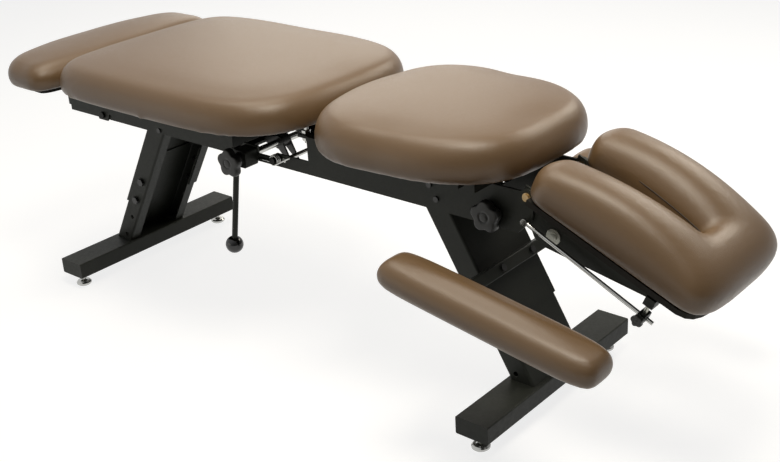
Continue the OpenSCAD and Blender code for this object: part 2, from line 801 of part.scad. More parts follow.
// Side of the pelvic tray: a folded plate outside the side plate, with its hinge lug
module tray_side() {
    difference() {
        plate_xz(frame_half + gap, tray_t) difference() {
            polygon([
                [tray_rear, tray_z],
                [tray_rear, tray_rear_top],
                [tray_step_x - cross_bar, tray_rear_top],
                [tray_step_x, board_z],
                [tray_front, board_z],
                [tray_front, tray_z + leg_bend_r],
                [tray_front - leg_bend_r, tray_z],
                [lug_x + lug_w / 2, tray_z],
                [lug_x + lug_w / 3, rail_z - lug_drop],
                [lug_x - lug_w / 3, rail_z - lug_drop],
                [lug_x - lug_w / 2, tray_z]
            ]);
            translate([tray_hinge_x, tray_hinge_z]) circle(hinge_r + run_fit, $fn = fn_round);
        }
    }
    translate([tray_step_x, tray_out - tray_flange_w, board_z - tray_t])
        cube([tray_front - tray_step_x, tray_flange_w - tray_t, tray_t]);
    translate([tray_step_x, tray_out - tray_t - over, board_z - tray_t])
        cube([tray_front - tray_step_x, tray_t, tray_t]);
}

module tray_near_side() color(black) placed() mirror([0, 1, 0]) tray_side();
module tray_far_side() color(black) placed() tray_side();

// Cross bars of the tray, with the tongue that the lift cam raises
module tray_cross_bars() color(black) placed() {
    half = frame_half + gap;
    for (x = [cross_x_rear, cross_x_mid, cross_x_front])
        tube_y(x, cross_z, -half, half, cross_bar, cross_bar, tube_wall);
    tube_y(cross_x_front, tray_z, -half, half, cross_bar, cross_bar, tube_wall);
    translate([tray_front, -tongue_half, tongue_z]) cube([tongue_len, 2 * tongue_half, tongue_h]);
}

// Long beams on the cross bars, under the pelvic board
module tray_beams() color(black) placed() both_sides()
    tube_x(tray_step_x, beam_front, beam_y, cross_z + cross_bar, beam_w, board_z - cross_z - cross_bar,
        tube_wall);

// Guides of the ankle rest's tubes: cheeks at the rear, closed over the tubes further in
module ankle_guides() color(plastic) placed() both_sides() {
    inner = ankle_tube / 2 + gap;
    both = inner + guide_wall;
    for (x = guide_xs, side = [-1, 1])
        translate([x - guide_len / 2, ankle_tube_y + side * (inner + guide_wall / 2) - guide_wall / 2,
            ankle_tube_z - gap])
            cube([guide_len, guide_wall, ankle_tube]);
    translate([guide_xs[1] - guide_len / 2, ankle_tube_y - both, ankle_tube_z + ankle_tube - gap])
        difference() {
            cube([guide_len, 2 * both, guide_wall + gap]);
            translate([-over, guide_wall, -over])
                cube([guide_len + 2 * over, 2 * inner, 2 * gap + over]);
        }
}

// Plan of a cushion: a rounded outline of half length a and half width b
function sign_pow(c, p) = sign(c) * pow(abs(c), p);
function plan(a, b, round, taper, t) = let (n = cos(t) < 0 ? round[0] : round[1])
    [a * sign_pow(cos(t), 2 / n), b * (1 + taper * cos(t)) * sign_pow(sin(t), 2 / n)];
function plan_ring(a, b, round, taper) =
    [for (i = [0:ring_n - 1]) plan(a, b, round, taper, 360 * i / ring_n)];

// A crowned cushion over its board: a pocket under it, drawn in below its widest line,
// rounded over its edge. edge holds the inset over the upper edge and the one under it
function cushion_rows(h, r_edge, r_under, crown) = let (
        z_mid = h * bulge_share,
        z_edge = h - crown,
        n = side_rows
    ) concat(
        [for (k = [0:n - 1]) let (a = -90 + 90 * k / n)
            [r_under * (1 - cos(a)), z_mid + z_mid * sin(a)]],
        [for (k = [0:n]) let (a = 90 * k / n)
            [r_edge * (1 - cos(a)), z_mid + (z_edge - z_mid) * sin(a)]]
    );

module cushion(a, b, h, inset, pocket, round, taper, edge, crown) {
    r_edge = edge[0];
    rows = concat([[inset - gap, pocket], [inset - gap, 0]], cushion_rows(h, r_edge, edge[1], crown));
    z_edge = h - crown;
    side = [for (row = rows) each [for (p = plan_ring(a - row[0], b - row[0], round, taper))
        [p[0], p[1], row[1]]]];
    top = [for (s = top_share) each [for (p = plan_ring(s * (a - r_edge), s * (b - r_edge), round, taper))
        [p[0], p[1], z_edge + crown * (1 - s * s)]]];
    points = concat([[0, 0, pocket]], side, top, [[0, 0, h]]);
    m = len(rows) + len(top_share);
    last = m * ring_n + 1;
    faces = concat(
        [for (i = [0:ring_n - 1]) [0, 1 + i, 1 + (i + 1) % ring_n]],
        [for (j = [0:m - 2], i = [0:ring_n - 1], k = [0, 1]) let (
                p = 1 + j * ring_n + i,
                q = 1 + j * ring_n + (i + 1) % ring_n
            ) k == 0 ? [p, q + ring_n, q] : [p, p + ring_n, q + ring_n]],
        [for (i = [0:ring_n - 1])
            [last, 1 + (m - 1) * ring_n + (i + 1) % ring_n, 1 + (m - 1) * ring_n + i]]
    );
    polyhedron(points, faces);
}

module pelvic_board() color(wood) placed() translate([pelvic_mid, 0, board_z])
    linear_extrude(board_t) polygon(plan_ring(pelvic_len / 2 - board_inset,
        pelvic_half - board_inset, pelvic_round, pelvic_taper));

module pelvic_cushion() color(vinyl) placed() translate([pelvic_mid, 0, board_z + pelvic_lift])
    cushion(pelvic_len / 2, pelvic_half, pelvic_h, board_inset, board_t - pelvic_lift + gap,
        pelvic_round, pelvic_taper, pelvic_edge, pelvic_crown);

module ankle_slide_tubes() color(black) placed() both_sides()
    tube_x(ankle_mid - ankle_tube_back, ankle_mid + ankle_tube_front, ankle_tube_y,
        ankle_tube_z, ankle_tube, ankle_tube, tube_wall);

module ankle_board() color(wood) placed() translate([ankle_mid, 0, ankle_board_z])
    linear_extrude(ankle_board_t) polygon(plan_ring(ankle_len / 2 - board_inset,
        ankle_half - board_inset, ankle_round, ankle_taper));

module ankle_cushion() color(vinyl) placed() translate([ankle_mid, 0, ankle_board_z + ankle_lift])
    cushion(ankle_len / 2, ankle_half, ankle_h, board_inset, ankle_board_t - ankle_lift + gap,
        ankle_round, ankle_taper, ankle_edge, ankle_crown);

// Drop shaft, bored at its near end for the tension stem
module drop_shaft() color(steel) placed() difference() {
    union() {
        bar_y(shaft_x, shaft_z, shaft_near, shaft_far, shaft_r);
        bar_y(shaft_x, shaft_z, frame_half + gap, shaft_far, shaft_r + bush_wall + bush_flange);
    }
    bar_y(shaft_x, shaft_z, shaft_near - over, shaft_near + stem_in + over, stem_r + run_fit);
}

// Lift cam: two cheeks on a hub, a pin for the roller and a hook that points down and forwards
module cam_outline() {
    circle(cam_hub_r, $fn = fn_round);
    translate([-cam_reach, 0]) circle(cam_eye_r, $fn = fn_round);
    polygon([[0, cam_hub_r], [-cam_reach, cam_eye_r], [-cam_reach, -cam_eye_r], [0, -cam_hub_r]]);
    translate(cam_hook) circle(cam_hook_r, $fn = fn_small);
    polygon([
        [cam_hub_r, 0],
        [cam_hook[0] + cam_hook_r, cam_hook[1]],
        [cam_hook[0] - cam_hook_r, cam_hook[1]],
        [0, -cam_hub_r]
    ]);
}

module lift_cam() color(steel) placed() translate([shaft_x, 0, shaft_z]) difference() {
    union() {
        both_sides() plate_xz(cam_cheek_y, cam_cheek_t) cam_outline();
        bar_y(0, 0, -cam_half, cam_half, cam_hub_r);
        bar_y(-cam_reach, 0, -cam_half, cam_half, roller_pin_r);
    }
    bar_y(0, 0, -cam_half - over, cam_half + over, shaft_r + run_fit);
}

module cam_roller() color(steel) placed() difference() {
    bar_y(shaft_x - cam_reach, shaft_z, -cam_cheek_y + gap, cam_cheek_y - gap, roller_r);
    bar_y(shaft_x - cam_reach, shaft_z, -cam_cheek_y, cam_cheek_y, roller_pin_r + run_fit);
}

// Cocking lever: a hub on the drop shaft with a rod that hangs down to the ball
module cocking_lever() color(black) placed() translate([shaft_x, 0, shaft_z]) difference() {
    union() {
        bar_y(0, 0, hub_y - hub_len, hub_y, hub_r);
        translate([0, hub_y - hub_len / 2, 0]) rotate([0, 180 + lever_lean, 0])
            cylinder(r = lever_r, h = lever_len, $fn = fn_round);
    }
    bar_y(0, 0, hub_y - hub_len - over, hub_y + over, shaft_r + run_fit);
}

module lever_ball() color(plastic) placed()
    translate([shaft_x, hub_y - hub_len / 2, shaft_z]) rotate([0, 180 + lever_lean, 0])
        translate([0, 0, lever_len]) difference() {
            sphere(d = ball_d, $fn = fn_round);
            translate([0, 0, -ball_d]) cylinder(r = lever_r + run_fit, h = ball_d + gap, $fn = fn_round);
        }

// Star knob with its back at y = 0 and its axis along -Y
module star_outline(d) difference() {
    circle(d = d, $fn = fn_round);
    for (i = [0:star_lobes - 1]) rotate(360 * (i + 1 / 2) / star_lobes)
        translate([star_lobe_place_share * d / 2, 0])
            circle(star_lobe_share * d / 2, $fn = fn_small);
}

module star_knob(d, h, neck) rotate([90, 0, 0]) {
    cylinder(r = star_neck_share * d / 2, h = neck + over, $fn = fn_round);
    edge = star_edge_h_share * h;
    translate([0, 0, neck]) linear_extrude(h) scale(star_edge_share) star_outline(d);
    translate([0, 0, neck + edge]) linear_extrude(h - 2 * edge) star_outline(d);
}

module tension_knob() color(plastic) placed() translate([shaft_x, shaft_near - gap, shaft_z])
    difference() {
        star_knob(star_d, star_h, star_neck);
        bar_y(0, 0, -star_h / 2 - star_neck - gap, over, stem_r + run_fit);
    }

module tension_stem() color(steel) placed()
    bar_y(shaft_x, shaft_z, shaft_near - gap - star_neck - star_h / 2, shaft_near + stem_in, stem_r);

// Channels under the chest board, open side down
module chest_supports() color(black) placed() for (x = support_xs)
    translate([x, support_half, front_top]) rotate([90, 0, 0])
        linear_extrude(2 * support_half) difference() {
            translate([-support_w / 2, 0]) square([support_w, board_z - front_top]);
            translate([-support_w / 2 + support_wall, -over])
                square([support_w - 2 * support_wall, board_z - front_top - support_wall + over]);
        }

module chest_board() color(wood) placed() translate([chest_mid, 0, board_z])
    linear_extrude(board_t) polygon(plan_ring(chest_len / 2 - board_inset,
        chest_half - board_inset, chest_round, chest_taper));

module chest_cushion() color(vinyl) placed() translate([chest_mid, 0, board_z + chest_lift])
    cushion(chest_len / 2, chest_half, chest_h, board_inset, board_t - chest_lift + gap,
        chest_round, chest_taper, chest_edge, chest_crown);

module front_knob() color(plastic) placed()
    translate([front_knob_at[0], -frame_half - front_boss_t - gap, front_knob_at[1]]) difference() {
        star_knob(star_d, star_h, star_neck);
        bar_y(0, 0, -star_h / 2 - star_neck - gap, over, front_stem_r + run_fit);
    }

module front_knob_stem() color(steel) placed()
    bar_y(front_knob_at[0], front_knob_at[1],
        -frame_half - front_boss_t - gap - star_neck - star_h / 2,
        -frame_half + plate_t + front_stem_in, front_stem_r);

// The head section's own frame: X down its slope from the pivot, Z square to it
module in_head() translate([pivot_x, 0, pivot_z]) rotate([0, head_tilt, 0]) children();

module head_plate() difference() {
    union() {
        plate_xz(head_plate_out - head_plate_t, head_plate_t) polygon([
            [head_plate_back, head_board_h],
            [head_plate_len, head_board_h],
            head_toe,
            head_low,
            head_deep,
            head_heel,
            [head_plate_back, -nose_r]
        ]);
        translate([head_tip + nose_r, head_plate_out - head_flange_w, head_board_h - head_flange_t])
            cube([head_plate_len - head_tip - nose_r, head_flange_w - over, head_flange_t]);
    }
    bar_y(0, 0, 0, frame_half, pivot_r + run_fit);
    bar_y(spacer_u, spacer_h, 0, frame_half, pivot_r + hole_slack);
}

module head_near_plate() color(black) placed() in_head() {
    mirror([0, 1, 0]) head_plate();
    translate([clamp_uh[0] - clamp_lug_w / 2, rod_y - clamp_lug_w / 3, clamp_lug_h[0]])
        cube([clamp_lug_w, -rod_y + clamp_lug_w / 3 - head_plate_out + head_plate_t / 2,
            clamp_lug_h[1] - clamp_lug_h[0]]);
}

module head_far_plate() color(black) placed() in_head() head_plate();

module head_spacer_tube() color(black) placed() in_head() difference() {
    half = head_plate_out - head_plate_t;
    bar_y(spacer_u, spacer_h, -half, half, spacer_r);
    bar_y(spacer_u, spacer_h, -half - over, half + over, spacer_r - spacer_wall);
}

module head_spacer_bolts() color(steel) placed() in_head() both_sides() {
    bar_y(spacer_u, spacer_h, head_plate_out, head_plate_out + spacer_head_h / 2, spacer_head_r);
    bar_y(spacer_u, spacer_h, head_plate_out + spacer_head_h / 2,
        head_plate_out + spacer_head_h, spacer_head_r / 2);
    bar_y(spacer_u, spacer_h, head_plate_out - 3 * cross_bar, head_plate_out + over, pivot_r);
}

// Horseshoe plan of the head section: the outer and the inner edge at station t, 0 to 1
head_round_u = head_reach - head_half * head_round_share;
function head_outer(t, inset) = t < 1 / 2
    ? [head_tip + (head_round_u - head_tip) * 2 * t, head_half - inset]
    : let (a = 180 * (t - 1 / 2)) [
        head_round_u + (head_reach - inset - head_round_u) * pow(sin(a), 2 / head_corner),
        (head_half - inset) * pow(max(cos(a), 0), 2 / head_corner)];
slot_round_u = head_tip + slot_len - slot_end_r;
function head_inner(t, inset) = t < 1 / 2
    ? [head_tip + (slot_round_u - head_tip) * 2 * t,
        slot_half + (slot_end_r - slot_half) * pow(2 * t, 2) + inset]
    : let (a = 180 * (t - 1 / 2))
        [slot_round_u + (slot_end_r + inset) * sin(a), (slot_end_r + inset) * max(cos(a), 0)];

head_ts = [0, 0.008, 0.03, 0.065, 0.11, 0.18, 0.27, 0.37, 0.46, 0.55, 0.64, 0.73, 0.82, 0.91];
head_all = concat([for (t = head_ts) [t, -1]], [[1, 1]],
    [for (i = [len(head_ts) - 1:-1:0]) [head_ts[i], 1]]);

// How far a prong has opened at a station, round at its tip over a distance
function tip_share(t, over_d) = let (q = min((head_round_u - head_tip) * 2 * t / over_d, 1))
    sqrt(max(1 - (1 - q) * (1 - q), 0));

// Height of the arched top above the cushion's underside, at a distance from the pivot
function head_arch(u, h) = let (q = (u - head_arch_u) / head_arch_reach)
    h - (q > 0 ? head_arch_front : head_arch_back) * q * q;

function head_ring(t, side, h) = let (
        o = head_outer(t, 0),
        i = head_inner(t, 0),
        mid = (o + i) / 2,
        out = (o - i) / 2,
        w = max(tip_share(t, head_tip_w), head_tip_least),
        up = head_tip_h_share + (1 - head_tip_h_share) * max(tip_share(t, head_tip_r), head_tip_least)
    ) [for (k = [0:head_rows - 1]) let (
            a = -90 + 360 * k / head_rows,
            s = w * sign_pow(cos(a), sin(a) < 0 ? head_under_power : head_side_power),
            p = mid + s * out,
            z = sin(a) < 0 ? head_mid_h * (1 + sign_pow(sin(a), head_under_power))
                : head_mid_h + (head_arch(p[0], h) - head_mid_h) * up * sign_pow(sin(a), head_top_power)
        ) [p[0], side * p[1], max(z, 0)]];

module horseshoe(h) {
    n = len(head_all);
    rings = [for (s = head_all) head_ring(s[0], s[1], h)];
    ends = [for (r = [rings[0], rings[n - 1]])
        [for (c = [0:2]) [for (p = r) p[c]] * [for (p = r) 1] / head_rows]];
    points = concat([ends[0]], [for (r = rings) each r], [ends[1]]);
    last = n * head_rows + 1;
    function at(i, k) = 1 + i * head_rows + k % head_rows;
    faces = concat(
        [for (k = [0:head_rows - 1]) [0, at(0, k + 1), at(0, k)]],
        [for (i = [0:n - 2], k = [0:head_rows - 1], m = [0, 1])
            m == 0 ? [at(i, k), at(i, k + 1), at(i + 1, k + 1)]
                : [at(i, k), at(i + 1, k + 1), at(i + 1, k)]],
        [for (k = [0:head_rows - 1]) [last, at(n - 1, k), at(n - 1, k + 1)]]
    );
    polyhedron(points, faces);
}

module head_board() color(black) placed() in_head() translate([0, 0, head_board_h])
    linear_extrude(head_board_t) polygon(concat(
        [for (s = head_all) let (p = head_outer(s[0], head_board_in))
            [max(p[0], head_tip + head_board_in), s[1] * p[1]]],
        [for (i = [len(head_all) - 1:-1:0]) let (
                s = head_all[i],
                p = head_inner(s[0], head_board_in / 2)
            ) [max(p[0], head_tip + head_board_in), s[1] * p[1]]]
    ));

module head_cushion() color(vinyl) placed() in_head() translate([0, 0, head_cushion_h0])
    horseshoe(head_h);

// Tilt rod with its eye on the side plate's pin
module tilt_rod() color(steel) placed()
    translate([pivot_x + rod_hook[0], rod_y, pivot_z + rod_hook[1]]) rotate([0, rod_angle, 0])
        difference() {
            union() {
                bar_y(0, 0, -rod_eye_w / 2, rod_eye_w / 2, rod_eye_r);
                rotate([0, 90, 0]) cylinder(r = rod_r, h = rod_len, $fn = fn_round);
            }
            bar_y(0, 0, -rod_eye_w, rod_eye_w, rod_r + run_fit);
        }

// Friction clamp that the rod slides through, bored for it and for the knob's stem
module at_clamp() translate([pivot_x + clamp_at[0], rod_y, pivot_z + clamp_at[1]])
    rotate([0, rod_angle, 0]) children();

module stud_bar(h0, r) in_head() translate([clamp_uh[0], rod_y, h0])
    cylinder(r = r, h = clamp_lug_h[0] - h0, $fn = fn_round);
stud_h0 = clamp_uh[1] + clamp_h / 2 - clamp_stud_in;

module rod_clamp() color(plastic) placed() difference() {
    at_clamp() difference() {
        plate_xz(-clamp_d / 2, clamp_d) rounded(clamp_w, clamp_h, tube_r);
        translate([-clamp_w, 0, 0]) rotate([0, 90, 0])
            cylinder(r = rod_r + clamp_slack, h = 2 * clamp_w, $fn = fn_round);
        bar_y(0, 0, -clamp_d, -clamp_d / 2 + clamp_screw_in + gap, clamp_screw_r + run_fit);
    }
    stud_bar(stud_h0 - gap, clamp_stud_r + run_fit);
}

module clamp_stud() color(steel) placed() stud_bar(stud_h0, clamp_stud_r);

// Clamp knob with its screw
module clamp_knob() color(plastic) placed() at_clamp() translate([0, -clamp_d / 2 - gap, 0]) {
    star_knob(clamp_knob_d, clamp_knob_h, star_neck);
    bar_y(0, 0, -over, clamp_screw_in + gap, clamp_screw_r);
}

// Square bar across the front leg's web, with solid ends bored for the armrest bolts
module armrest_bar() color(black) placed() translate([arm_bar_x, 0, arm_bar_z]) difference() {
    rotate([0, -leg_lean, 0]) plate_xz(-arm_bar_end, 2 * arm_bar_end)
        rounded(arm_tube, arm_tube, tube_r);
    rotate([0, -leg_lean, 0])
        plate_xz(-arm_bar_end + 2 * arm_bolt_in, 2 * (arm_bar_end - 2 * arm_bolt_in))
            rounded(arm_tube - 2 * tube_wall, arm_tube - 2 * tube_wall, tube_r / 2);
    both_sides() bar_y(0, 0, arm_bar_end - arm_bolt_in - gap, arm_bar_end + over, arm_bolt_r + run_fit);
    translate([-arm_bar_x, 0, -arm_bar_z]) web_holes();
}

module in_arm(tilt) translate([arm_bar_x, 0, arm_bar_z]) rotate([0, tilt, 0]) children();

// Bracket of the far armrest: an upright on the bar's end with a flange out to its pad
module arm_bracket() difference() {
    union() {
        plate_xz(arm_bar_end + gap, arm_plate_t) {
            circle(d = arm_plate_w, $fn = fn_round);
            translate([-arm_plate_w / 2, 0]) square([arm_plate_w, arm_rise - over]);
        }
        translate([-arm_plate_w / 2, arm_bar_end + gap, arm_rise - arm_plate_t])
            cube([arm_flange_len, arm_y + arm_flange_out - arm_bar_end, arm_plate_t]);
    }
    bar_y(0, 0, arm_bar_end, arm_bar_end + arm_tube, arm_bolt_r + run_fit);
}

module arm_pad() translate([arm_mid, arm_y, arm_rise])
    cushion(arm_len / 2, arm_half, arm_h, arm_half / 3, arm_pocket, arm_round, 0, arm_edge, arm_crown);

module near_arm_bracket() color(black) placed() in_arm(arm_tilt) mirror([0, 1, 0]) arm_bracket();
module near_arm_pad() color(vinyl) placed() in_arm(arm_tilt) mirror([0, 1, 0]) arm_pad();
module far_arm_bracket() color(black) placed() in_arm(far_arm_tilt) arm_bracket();
module far_arm_pad() color(vinyl) placed() in_arm(far_arm_tilt) arm_pad();

foot_bar(-1);  // rear_foot_bar
foot_bar(1);  // front_foot_bar
foot_end_caps();
leveller_nuts();
leveller(-1, -1);  // leveller_rear_near
leveller(-1, 1);  // leveller_rear_far
leveller(1, -1);  // leveller_front_near
leveller(1, 1);  // leveller_front_far
rear_lower_leg();
front_lower_leg();
rear_upper_leg();
front_upper_leg();
frame_bolts();
near_side_plate();
far_side_plate();
frame_cross_members();
rubber_bumpers();
stop_bolts();
bearing_block();
shaft_bushes();
torsion_spring();
frame_pins();
pivot_bolts();
tray_near_side();
tray_far_side();
tray_cross_bars();
tray_beams();
ankle_guides();
pelvic_board();
pelvic_cushion();
ankle_slide_tubes();
ankle_board();
ankle_cushion();
drop_shaft();
lift_cam();
cam_roller();
cocking_lever();
lever_ball();
tension_knob();
tension_stem();
chest_supports();
chest_board();
chest_cushion();
front_knob();
front_knob_stem();
head_near_plate();
head_far_plate();
head_spacer_tube();
head_spacer_bolts();
head_board();
head_cushion();
tilt_rod();
rod_clamp();
clamp_stud();
clamp_knob();
armrest_bar();
near_arm_bracket();
near_arm_pad();
far_arm_bracket();
far_arm_pad();
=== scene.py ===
# %% [markdown]
# This notebook dresses a chiropractic table: a low, black steel frame with six brown vinyl
# cushions, a drop section worked by a lever, and a head section that tilts. The frame comes
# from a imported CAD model, so every metal part is already in its place, in metres. What is
# made here is what CAD does badly: soft upholstery, moulded knobs, a bent wire spring, and
# the finish of every surface.

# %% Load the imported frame
import json
import math

import bpy
from mathutils import Matrix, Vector
import numpy as np


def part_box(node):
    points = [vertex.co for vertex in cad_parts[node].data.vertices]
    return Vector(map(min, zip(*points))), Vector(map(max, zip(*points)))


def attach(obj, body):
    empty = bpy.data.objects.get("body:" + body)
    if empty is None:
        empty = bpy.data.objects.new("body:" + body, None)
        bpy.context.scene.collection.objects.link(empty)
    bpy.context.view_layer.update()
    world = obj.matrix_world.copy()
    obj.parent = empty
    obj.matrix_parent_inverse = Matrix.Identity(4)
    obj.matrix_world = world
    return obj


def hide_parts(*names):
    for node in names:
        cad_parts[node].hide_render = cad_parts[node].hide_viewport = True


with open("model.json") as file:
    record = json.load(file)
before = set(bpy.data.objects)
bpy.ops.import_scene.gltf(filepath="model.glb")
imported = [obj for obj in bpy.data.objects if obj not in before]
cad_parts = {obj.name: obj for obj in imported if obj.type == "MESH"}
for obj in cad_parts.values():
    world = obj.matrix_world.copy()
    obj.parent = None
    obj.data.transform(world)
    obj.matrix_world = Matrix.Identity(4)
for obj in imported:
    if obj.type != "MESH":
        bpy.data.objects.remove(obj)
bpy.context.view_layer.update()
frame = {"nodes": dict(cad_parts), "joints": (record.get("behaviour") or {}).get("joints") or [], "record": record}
nodes = frame["nodes"]
joints = {joint["name"]: joint for joint in frame["joints"]}
print("nodes:", len(nodes), "joints:", len(joints))

# %% [markdown]
# The photograph was taken from the table's near side, from beyond the head end and above.
# The camera's place and its three angles were worked out from the known lengths of the foot
# bars and legs, so it stands where the photographer stood. A camera's matrix has its own
# right, up and backward directions as columns, which is the plainest way to set a roll.

# %% Camera
PHOTO_WIDTH = 780
FOCAL_PIXELS = 1213.59
SENSOR = 36.0
CLIP_NEAR, CLIP_FAR = 0.05, 60.0
CAMERA_AT = (1.65077, -1.7621, 1.3326)
YAW, PITCH, ROLL = math.radians(41.381), math.radians(24.452), math.radians(-3.419)


def camera_axes(yaw, pitch, roll):
    """Right, up and forward, as rows: the level pair is turned about forward by the roll."""
    forward = np.array([
        -math.sin(yaw) * math.cos(pitch),
        math.cos(yaw) * math.cos(pitch),
        -math.sin(pitch)
    ])
    right = np.array([math.cos(yaw), math.sin(yaw), 0.0])
    up = np.cross(right, forward)
    turned_right = right * math.cos(roll) + up * math.sin(roll)
    turned_up = up * math.cos(roll) - right * math.sin(roll)
    return turned_right, turned_up, forward


def framed(right, up, back, at):
    """A 4 by 4 matrix whose columns are three directions and a place."""
    matrix = np.identity(4)
    matrix[:3] = np.column_stack([right, up, back, at])
    return Matrix(matrix.tolist())


def place_camera():
    right, up, forward = camera_axes(YAW, PITCH, ROLL)
    data = bpy.data.cameras.new("camera")
    data.sensor_width = SENSOR
    data.lens = FOCAL_PIXELS * SENSOR / PHOTO_WIDTH
    data.clip_start, data.clip_end = CLIP_NEAR, CLIP_FAR
    camera = bpy.data.objects.new("camera", data)
    camera.matrix_world = framed(right, up, -forward, CAMERA_AT)
    bpy.context.scene.collection.objects.link(camera)
    bpy.context.scene.camera = camera
    return camera


camera = place_camera()
print("lens:", round(camera.data.lens, 2), "mm")

# %% [markdown]
# A surface is a grid of points: rings stacked from the bottom up, each closed round. The
# faces of such a grid are plain arithmetic on row and column numbers, so they are worked out
# for the whole grid at once, and both ends are closed by a fan to the ring's middle.

# %% Meshes from grids
def ring_faces(rows, columns):
    """Quads between ring i and i + 1. Rings turn anticlockwise, seen from their far end."""
    i, j = np.meshgrid(np.arange(rows - 1), np.arange(columns), indexing="ij")
    a = i * columns + j
    b = i * columns + (j + 1) % columns
    return np.stack([a, b, b + columns, a + columns], axis=-1).reshape(-1, 4)


def shell_mesh(name, rings):
    """A closed skin over rings of points, an array of rows by columns by 3."""
    rows, columns, _ = rings.shape
    points = np.concatenate([rings.reshape(-1, 3), [rings[0].mean(0)], [rings[-1].mean(0)]])
    bottom, top = rows * columns, rows * columns + 1
    last = (rows - 1) * columns
    j = np.arange(columns)
    k = (j + 1) % columns
    low_fan = np.stack([np.full(columns, bottom), k, j], axis=-1)
    high_fan = np.stack([np.full(columns, top), last + j, last + k], axis=-1)
    faces = ring_faces(rows, columns).tolist() + low_fan.tolist() + high_fan.tolist()
    mesh = bpy.data.meshes.new(name)
    mesh.from_pydata(points.tolist(), [], faces)
    mesh.polygons.foreach_set("use_smooth", np.ones(len(mesh.polygons), bool))
    mesh.update()
    return mesh


def piece(name, mesh):
    made = bpy.data.objects.new(name, mesh)
    bpy.context.scene.collection.objects.link(made)
    return made


def signed_power(values, power):
    """A power that keeps the sign, which superellipses need."""
    return np.sign(values) * np.abs(values) ** power


print("faces between 3 rings of 8 points:", len(ring_faces(3, 8)))

# %% [markdown]
# Shaders are built from a few node groups, so that one effect, such as the fine pebbling of a
# powder coat, is made once and reused with other values. A group gives out only colours,
# masks and heights; the Principled shader stays in each material.

# %% Shader helpers
def new_group(name, inputs, outputs):
    """An empty node group with float, vector or colour sockets, and each input's default."""
    group = bpy.data.node_groups.new(name, "ShaderNodeTree")
    for label, kind, value in inputs:
        socket = group.interface.new_socket(label, in_out="INPUT", socket_type=kind)
        if value is not None:
            socket.default_value = value
    for label, kind in outputs:
        group.interface.new_socket(label, in_out="OUTPUT", socket_type=kind)
    start = group.nodes.new("NodeGroupInput")
    end = group.nodes.new("NodeGroupOutput")
    return group, start, end


def math_node(tree, operation, first, second):
    """One operation on two values, each a number or another node's output."""
    node = tree.nodes.new("ShaderNodeMath")
    node.operation = operation
    for socket, value in zip(node.inputs, (first, second)):
        if isinstance(value, bpy.types.NodeSocket):
            tree.links.new(value, socket)
        else:
            socket.default_value = value
    return node.outputs[0]


def noise(tree, vector, scale, detail=3.0, roughness=0.55):
    """A noise texture's value, at a scale that is a number or another node's output."""
    node = tree.nodes.new("ShaderNodeTexNoise")
    node.inputs["Detail"].default_value = detail
    node.inputs["Roughness"].default_value = roughness
    tree.links.new(vector, node.inputs["Vector"])
    if isinstance(scale, bpy.types.NodeSocket):
        tree.links.new(scale, node.inputs["Scale"])
    else:
        node.inputs["Scale"].default_value = scale
    return node.outputs["Fac"]


print("shader helpers:", [helper.__name__ for helper in (new_group, math_node, noise)])

# %% [markdown]
# Three effects cover the whole table. The first, "tone drift", makes a colour a little
# lighter and darker in slow patches, as dust, handling and dye do. It multiplies the colour
# by one plus or minus a share of a noise.

# %% Tone drift
def make_tone_drift():
    group, start, end = new_group("tone drift", [
        ("Vector", "NodeSocketVector", None),
        ("Colour", "NodeSocketColor", (0.5, 0.5, 0.5, 1)),
        ("Scale", "NodeSocketFloat", 6.0),
        ("Amount", "NodeSocketFloat", 0.15),
    ], [("Colour", "NodeSocketColor"), ("Mask", "NodeSocketFloat")])
    mask = noise(group, start.outputs["Vector"], start.outputs["Scale"])
    centred = math_node(group, "SUBTRACT", mask, 0.5)
    swing = math_node(group, "MULTIPLY", centred, start.outputs["Amount"])
    value = math_node(group, "ADD", swing, 1.0)
    mix = group.nodes.new("ShaderNodeVectorMath")
    mix.operation = "SCALE"
    group.links.new(start.outputs["Colour"], mix.inputs[0])
    group.links.new(value, mix.inputs["Scale"])
    group.links.new(mix.outputs[0], end.inputs["Colour"])
    group.links.new(mask, end.inputs["Mask"])
    return group


tone_drift = make_tone_drift()
print("group:", tone_drift.name, "nodes:", len(tone_drift.nodes))

# %% [markdown]
# "Pebble" is the fine orange-peel height of a sprayed or moulded skin: a fine noise and a
# broad one, added. "Hide grain" is the net of tiny creases pressed into vinyl: the distance
# to the edge of Voronoi cells is small along the creases, and a slower noise keeps the cells
# from looking alike.

# %% Pebble and hide grain
BROAD_SHARE, SLOW_SHARE = 0.16, 0.25
CREASE_WIDTH = 0.22
HEIGHT_OUTPUTS = [("Height", "NodeSocketFloat"), ("Mask", "NodeSocketFloat")]


def make_pebble():
    group, start, end = new_group("pebble", [
        ("Vector", "NodeSocketVector", None), ("Scale", "NodeSocketFloat", 700.0),
    ], HEIGHT_OUTPUTS)
    fine = noise(group, start.outputs["Vector"], start.outputs["Scale"], detail=2.0)
    broad_scale = math_node(group, "MULTIPLY", start.outputs["Scale"], BROAD_SHARE)
    broad = noise(group, start.outputs["Vector"], broad_scale, detail=1.0)
    group.links.new(math_node(group, "ADD", fine, broad), end.inputs["Height"])
    group.links.new(broad, end.inputs["Mask"])
    return group


